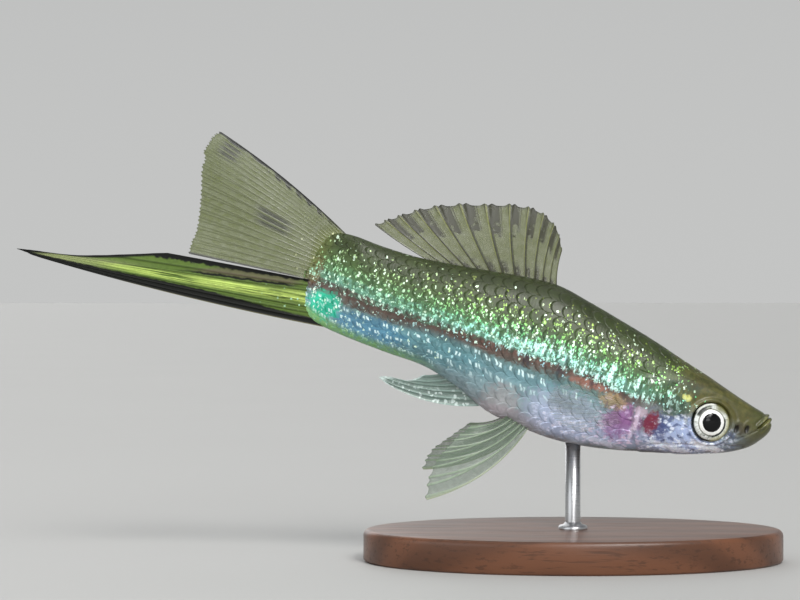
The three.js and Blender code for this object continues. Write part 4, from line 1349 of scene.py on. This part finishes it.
class SWORDTAIL_OT_belly_fins(bpy.types.Operator):
    """Build the pelvic fins, the pectoral fins and the gonopodium"""
    bl_idname = "swordtail.belly_fins"
    bl_label = "Paired fins and gonopodium"

    def execute(self, context):
        for side, way, swing in (("right", -1.0, 0.0), ("left", 1.0, 1.6)):
            self.pelvic(side, way, swing)
            self.pectoral(side, way)
        root = flat_line([(43.8, -11.7), (46.4, -10.4), (48.6, -9.3), (50.4, -8.2)])
        tip = flat_line([(59.6, -12.9), (60.6, -12.4), (59.6, -11.9), (56.0, -11.4), (54.0, -9.9)])
        bow = ((0.0, -1.3, 0.0), (0.0, -0.2, 0.0))
        build_fin("gonopodium", gonopodium_material(), root, tip, bow, rays=6, film=3.0, rod=1.6,
                  split=0.95, width=0.2)
        return {"FINISHED"}

    def pelvic(self, side, way, swing):
        """One pelvic fin, its tip moved back by swing in mm and up by about twice as much."""
        root = [(35.6, -12.2, way * 1.1), (37.2, -11.8, way * 1.3), (39.2, -11.3, way * 1.5)]
        tip = [(PELVIC_TIP[0] + swing, PELVIC_TIP[1] + 2.2 * swing, way * 6.2),
               (48.4 + 0.4 * swing, -23.2 + 1.2 * swing, way * 5.4),
               (47.2, -19.2 + 0.6 * swing, way * 4.4), (44.6, -15.0, way * 3.2)]
        bow = ((-1.5, -1.2, way * 0.5), (-0.5, -0.4, way * 0.5))
        build_fin("pelvic_fin_" + side, pelvic_material(), root, tip, bow, rays=6, split=0.45, wave=0.15)

    def pectoral(self, side, way):
        """One pectoral fin, whose root and tip are set from the gill opening."""
        out = side_at(*PECTORAL_AT) - PECTORAL_SUNK
        from_gill = np.array([*PECTORAL_AT, out])
        mirror = (1.0, 1.0, way)
        root = from_gill + [(0.6, 1.4, 0.0), (0.9, 0.0, 0.0), (0.8, -1.5, -0.2)]
        tip = from_gill + [(11.0, 1.8, 4.4), (13.8, -0.2, 5.2), (13.6, -3.0, 5.1), (10.6, -5.0, 4.2),
                           (7.4, -5.2, 3.4)]
        bow = ((0.0, 0.0, way * 0.5), (0.0, 0.0, way * 0.5))
        build_fin("pectoral_fin_" + side, pectoral_material(), root * mirror, tip * mirror, bow, rays=13,
                  film=0.8, rod=0.6, split=0.5, wave=0.15)


# Stand and studio

@cache
def wood_material():
    """Dark varnished wood: bands along the base, bent by noise, and fine long pores."""
    material, graph, shader = new_material(
        "varnished wood", Coat_Weight=0.22, Coat_Roughness=0.28, Specular_IOR_Level=0.35)
    where = graph.where()
    x, y, z = where.split()
    bend = graph.noise(where, 26.0, 2.0)
    wave = ((y + z * 0.7) * 900.0 + bend * 9.0).sine().span(-1.0, 1.0)
    long = graph.join(x * 60.0, y * 1600.0, z * 1600.0)
    pores = graph.noise(long, 1.0, 3.0, 0.7).span(0.52, 0.66)
    tone = tuple(settings("stand").wood)
    pale = tuple(min(1.0, channel * 1.9) for channel in tone)
    deep = tuple(channel * 0.42 for channel in tone)
    colour = graph.mix(wave * 0.7, tone, pale)
    graph.feed(shader["Base Color"], graph.mix(pores * 0.5, colour, deep))
    graph.feed(shader["Roughness"], pores.span(0.0, 1.0, 0.36, 0.48))
    graph.feed(shader["Normal"], graph.bump(wave - pores, 0.14, 0.0001))
    return material


@cache
def steel_material():
    """Satin steel with fine lines across the rod."""
    material, graph, shader = new_material("satin steel", Metallic=1.0)
    x, y, z = graph.where().split()
    lines = graph.noise(graph.join(x * 300.0, y * 300.0, z * 9000.0), 1.0, 2.0)
    graph.feed(shader["Base Color"], graph.mix(lines, (0.42, 0.43, 0.44), (0.52, 0.52, 0.53)))
    graph.feed(shader["Roughness"], lines.span(0.2, 0.8, 0.26, 0.36))
    return material


@cache
def floor_material():
    """Matt pale floor with a faint mottle."""
    material, graph, shader = new_material("pale floor", Roughness=0.7)
    mottle = graph.noise(graph.where(), 9.0, 4.0)
    pale = tuple(settings("stand").floor)
    graph.feed(shader["Base Color"], graph.mix(mottle, pale, tuple(channel * 0.96 for channel in pale)))
    return material


def turned(profile, stretch=1.0, around=64):
    """A profile of radius and height pairs in mm, turned about the vertical axis through
    the origin, its y scaled by stretch, in metres."""
    angle = np.arange(around) / around * 2 * np.pi
    radius, height = np.asarray(profile, float).T
    x = radius[:, None] * np.cos(angle)
    y = radius[:, None] * np.sin(angle) * stretch
    return np.stack([x, y, height[:, None] + 0 * x], -1) * MM


# The foot of the base's rim, the rod's reach into base and belly, and the collar's
# profile as radius and height over the base's top, in mm
BASE_FOOT = 0.4
BASE_AROUND = 192
ROD_IN_BASE, ROD_IN_BELLY = 1.0, 0.35
COLLAR = ((0.3, -0.4), (2.3, -0.4), (2.3, 0.35), (2.1, 0.6), (1.5, 0.75), (1.25, 1.1), (0.3, 1.1))
COLLAR_RADIUS = 2.6


class SWORDTAIL_OT_stand(bpy.types.Operator):
    """Build the display stand: an oval base with a rounded rim, a collar and a rod"""
    bl_idname = "swordtail.stand"
    bl_label = "Stand"

    def execute(self, context):
        # The base: a small bevel at the foot, a rim rounded by a quarter circle, a flat top
        _, high = (np.array(corner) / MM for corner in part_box("stand_base"))
        radius, stretch, top = high[0], high[1] / high[0], high[2]
        edge = settings("stand").edge
        arc = np.linspace(0.0, np.pi / 2, 10)
        rim = [(radius - edge + edge * np.cos(t), top - edge + edge * np.sin(t)) for t in arc]
        inner = [(r, top) for r in np.linspace(radius - edge, COLLAR_RADIUS, 6)[1:]]
        profile = [(0.5, 0.0), (radius - BASE_FOOT, 0.0), (radius, BASE_FOOT), *rim, *inner, (0.5, top)]
        base = closed_tube(turned(profile, stretch, BASE_AROUND), "stand_base_dressed", wood_material(),
                           slot="stand_wood")
        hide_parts("stand_base")

        # The rod, let into base and belly, and the collar at its foot
        _, high = (np.array(corner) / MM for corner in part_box("stand_rod"))
        radius, foot, tip = high[0], top - ROD_IN_BASE, high[2] + ROD_IN_BELLY
        shaft = [(0.2, foot), (radius, foot), (radius, top + 0.2), (radius, tip), (0.2, tip)]
        rod = closed_tube(turned(shaft), "stand_rod_dressed", steel_material(), slot="stand_steel")
        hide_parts("stand_rod")
        ring = [(wide, top + rise) for wide, rise in COLLAR]
        closed_tube(turned(ring), "stand_collar", steel_material(), slot="stand_steel")
        return {"FINISHED"}


# The photograph's frame: 800 pixels across, one pixel is PIXEL mm at the fish, and the
# snout lies at SNOUT_PIXEL
FRAME_SIZE = (800, 600)
PIXEL = 75.0 / 476.0
SNOUT_PIXEL = (769, 421)
LENS = 100.0
SENSOR = 36.0

# The floor: radii of its rings, its top just under the base, and its underside, in mm
FLOOR_RADII = (20.0, 100.0, 500.0, 3000.0, 29900.0, 30000.0)
FLOOR_AROUND = 96
FLOOR_TOP, FLOOR_UNDER = -0.02, -4.02

WHITE = (1.0, 1.0, 1.0)
SKY_LOW, SKY_HIGH = (0.55, 0.555, 0.55), (0.24, 0.25, 0.26)


def new_light(name, kind, power, colour=WHITE):
    """A light with its lamp object in the scene."""
    light = bpy.data.lights.new(name, kind)
    light.energy = power
    light.color = colour
    lamp = bpy.data.objects.new(name, light)
    bpy.context.scene.collection.objects.link(lamp)
    return light, lamp


def area_light(name, place, aim, size, power):
    """A near soft light at place, facing aim, in metres and watts."""
    light, lamp = new_light(name, "AREA", power)
    light.shape = "RECTANGLE"
    light.size, light.size_y = size
    lamp.location = place
    lamp.rotation_euler = (Vector(aim) - Vector(place)).to_track_quat("-Z", "Y").to_euler()
    lamp.visible_camera = False


def sun_light(name, direction, strength, spread, colour=WHITE):
    """A far light from a direction, as soft as its spread in degrees, in W per m2."""
    light, lamp = new_light(name, "SUN", strength, colour)
    light.angle = np.radians(spread)
    lamp.rotation_euler = Vector(direction).to_track_quat("Z", "Y").to_euler()


class SWORDTAIL_OT_stage(bpy.types.Operator):
    """Set the camera, the pale floor and the soft studio light"""
    bl_idname = "swordtail.stage"
    bl_label = "Stage"

    def execute(self, context):
        self.camera(context)
        self.floor()
        self.lights()
        self.sky(context)
        context.scene.view_settings.view_transform = "Standard"
        return {"FINISHED"}

    def camera(self, context):
        """Look at the fish's right side as the photograph does."""
        wide, tall = FRAME_SIZE
        x = (FISH_ORIGIN[0] + (wide / 2 - SNOUT_PIXEL[0]) * PIXEL) * MM
        z = (FISH_ORIGIN[2] + (SNOUT_PIXEL[1] - tall / 2) * PIXEL) * MM
        data = bpy.data.cameras.new("camera")
        data.lens, data.sensor_width = LENS, SENSOR
        data.clip_start, data.clip_end = 0.01, 100.0
        camera = bpy.data.objects.new("camera", data)
        camera.location = (x, -wide * PIXEL * LENS / SENSOR * MM, z)
        camera.rotation_euler = (np.pi / 2, 0.0, 0.0)
        context.scene.collection.objects.link(camera)
        context.scene.camera = camera

    def floor(self):
        """A round slab just under the base, wide enough to reach the horizon."""
        top = [(radius, FLOOR_TOP) for radius in FLOOR_RADII]
        under = [(radius, FLOOR_UNDER) for radius in FLOOR_RADII[:1:-1]]
        rings = turned([*top, *under], around=FLOOR_AROUND)
        closed_tube(rings, "studio_floor", floor_material())

    def lights(self):
        """Wide suns from the front, the side, above and behind, and one near soft light."""
        sun_light("key", (0.35, -0.75, 0.8), 1.7, 22.0, (1.0, 0.985, 0.96))
        sun_light("top", (-0.1, 0.15, 1.0), 0.8, 70.0)
        sun_light("left fill", (-0.9, -0.7, 0.35), 0.7, 50.0, (0.95, 0.975, 1.0))
        area_light("front glow", (0.1, -0.5, 0.3), (-0.02, 0.0, 0.03), (0.3, 0.2), 0.9)
        sun_light("low front", (0.12, -1.0, 0.05), 0.45, 24.0)
        sun_light("rim", (-0.3, 0.9, 0.45), 0.5, 40.0)

    def sky(self, context):
        """A grey sky, darker overhead."""
        world = context.scene.world or bpy.data.worlds.new("studio")
        context.scene.world = world
        world.use_nodes = True
        graph = Graph(world.node_tree)
        back = world.node_tree.nodes["Background"]
        up = graph.value("ShaderNodeTexCoord", (), "Generated").split()[2]
        graph.feed(back.inputs["Color"], graph.mix(up.span(0.0, 0.8), SKY_LOW, SKY_HIGH))
        back.inputs["Strength"].default_value = 1.0


OPERATORS = (
    SWORDTAIL_OT_skin, SWORDTAIL_OT_scales, SWORDTAIL_OT_eyes, SWORDTAIL_OT_dorsal,
    SWORDTAIL_OT_tail, SWORDTAIL_OT_belly_fins, SWORDTAIL_OT_stand, SWORDTAIL_OT_stage,
)
PROPERTIES = {"coat": SwordtailCoat, "fins": SwordtailFins, "stand": SwordtailStand}


class SWORDTAIL_PT_panel(bpy.types.Panel):
    """Lists the sizes and the pieces of the model"""
    bl_idname = "SWORDTAIL_PT_panel"
    bl_label = "Swordtail"
    bl_space_type = "VIEW_3D"
    bl_region_type = "UI"
    bl_category = "Swordtail"

    def draw(self, context):
        for key, group in PROPERTIES.items():
            box = self.layout.box()
            for name in group.__annotations__:
                box.prop(settings(key), name)
        for operator in OPERATORS:
            self.layout.operator(operator.bl_idname)


def register():
    for item in (*PROPERTIES.values(), *OPERATORS, SWORDTAIL_PT_panel):
        bpy.utils.register_class(item)
    for key, group in PROPERTIES.items():
        setattr(bpy.types.Scene, "swordtail_" + key, PointerProperty(type=group))


def unregister():
    for key in PROPERTIES:
        delattr(bpy.types.Scene, "swordtail_" + key)
    for item in (SWORDTAIL_PT_panel, *reversed(OPERATORS), *PROPERTIES.values()):
        bpy.utils.unregister_class(item)


def main():
    register()
    for operator in OPERATORS:
        getattr(bpy.ops.swordtail, operator.bl_idname.split(".")[1])()


if __name__ == "__main__":
    main()
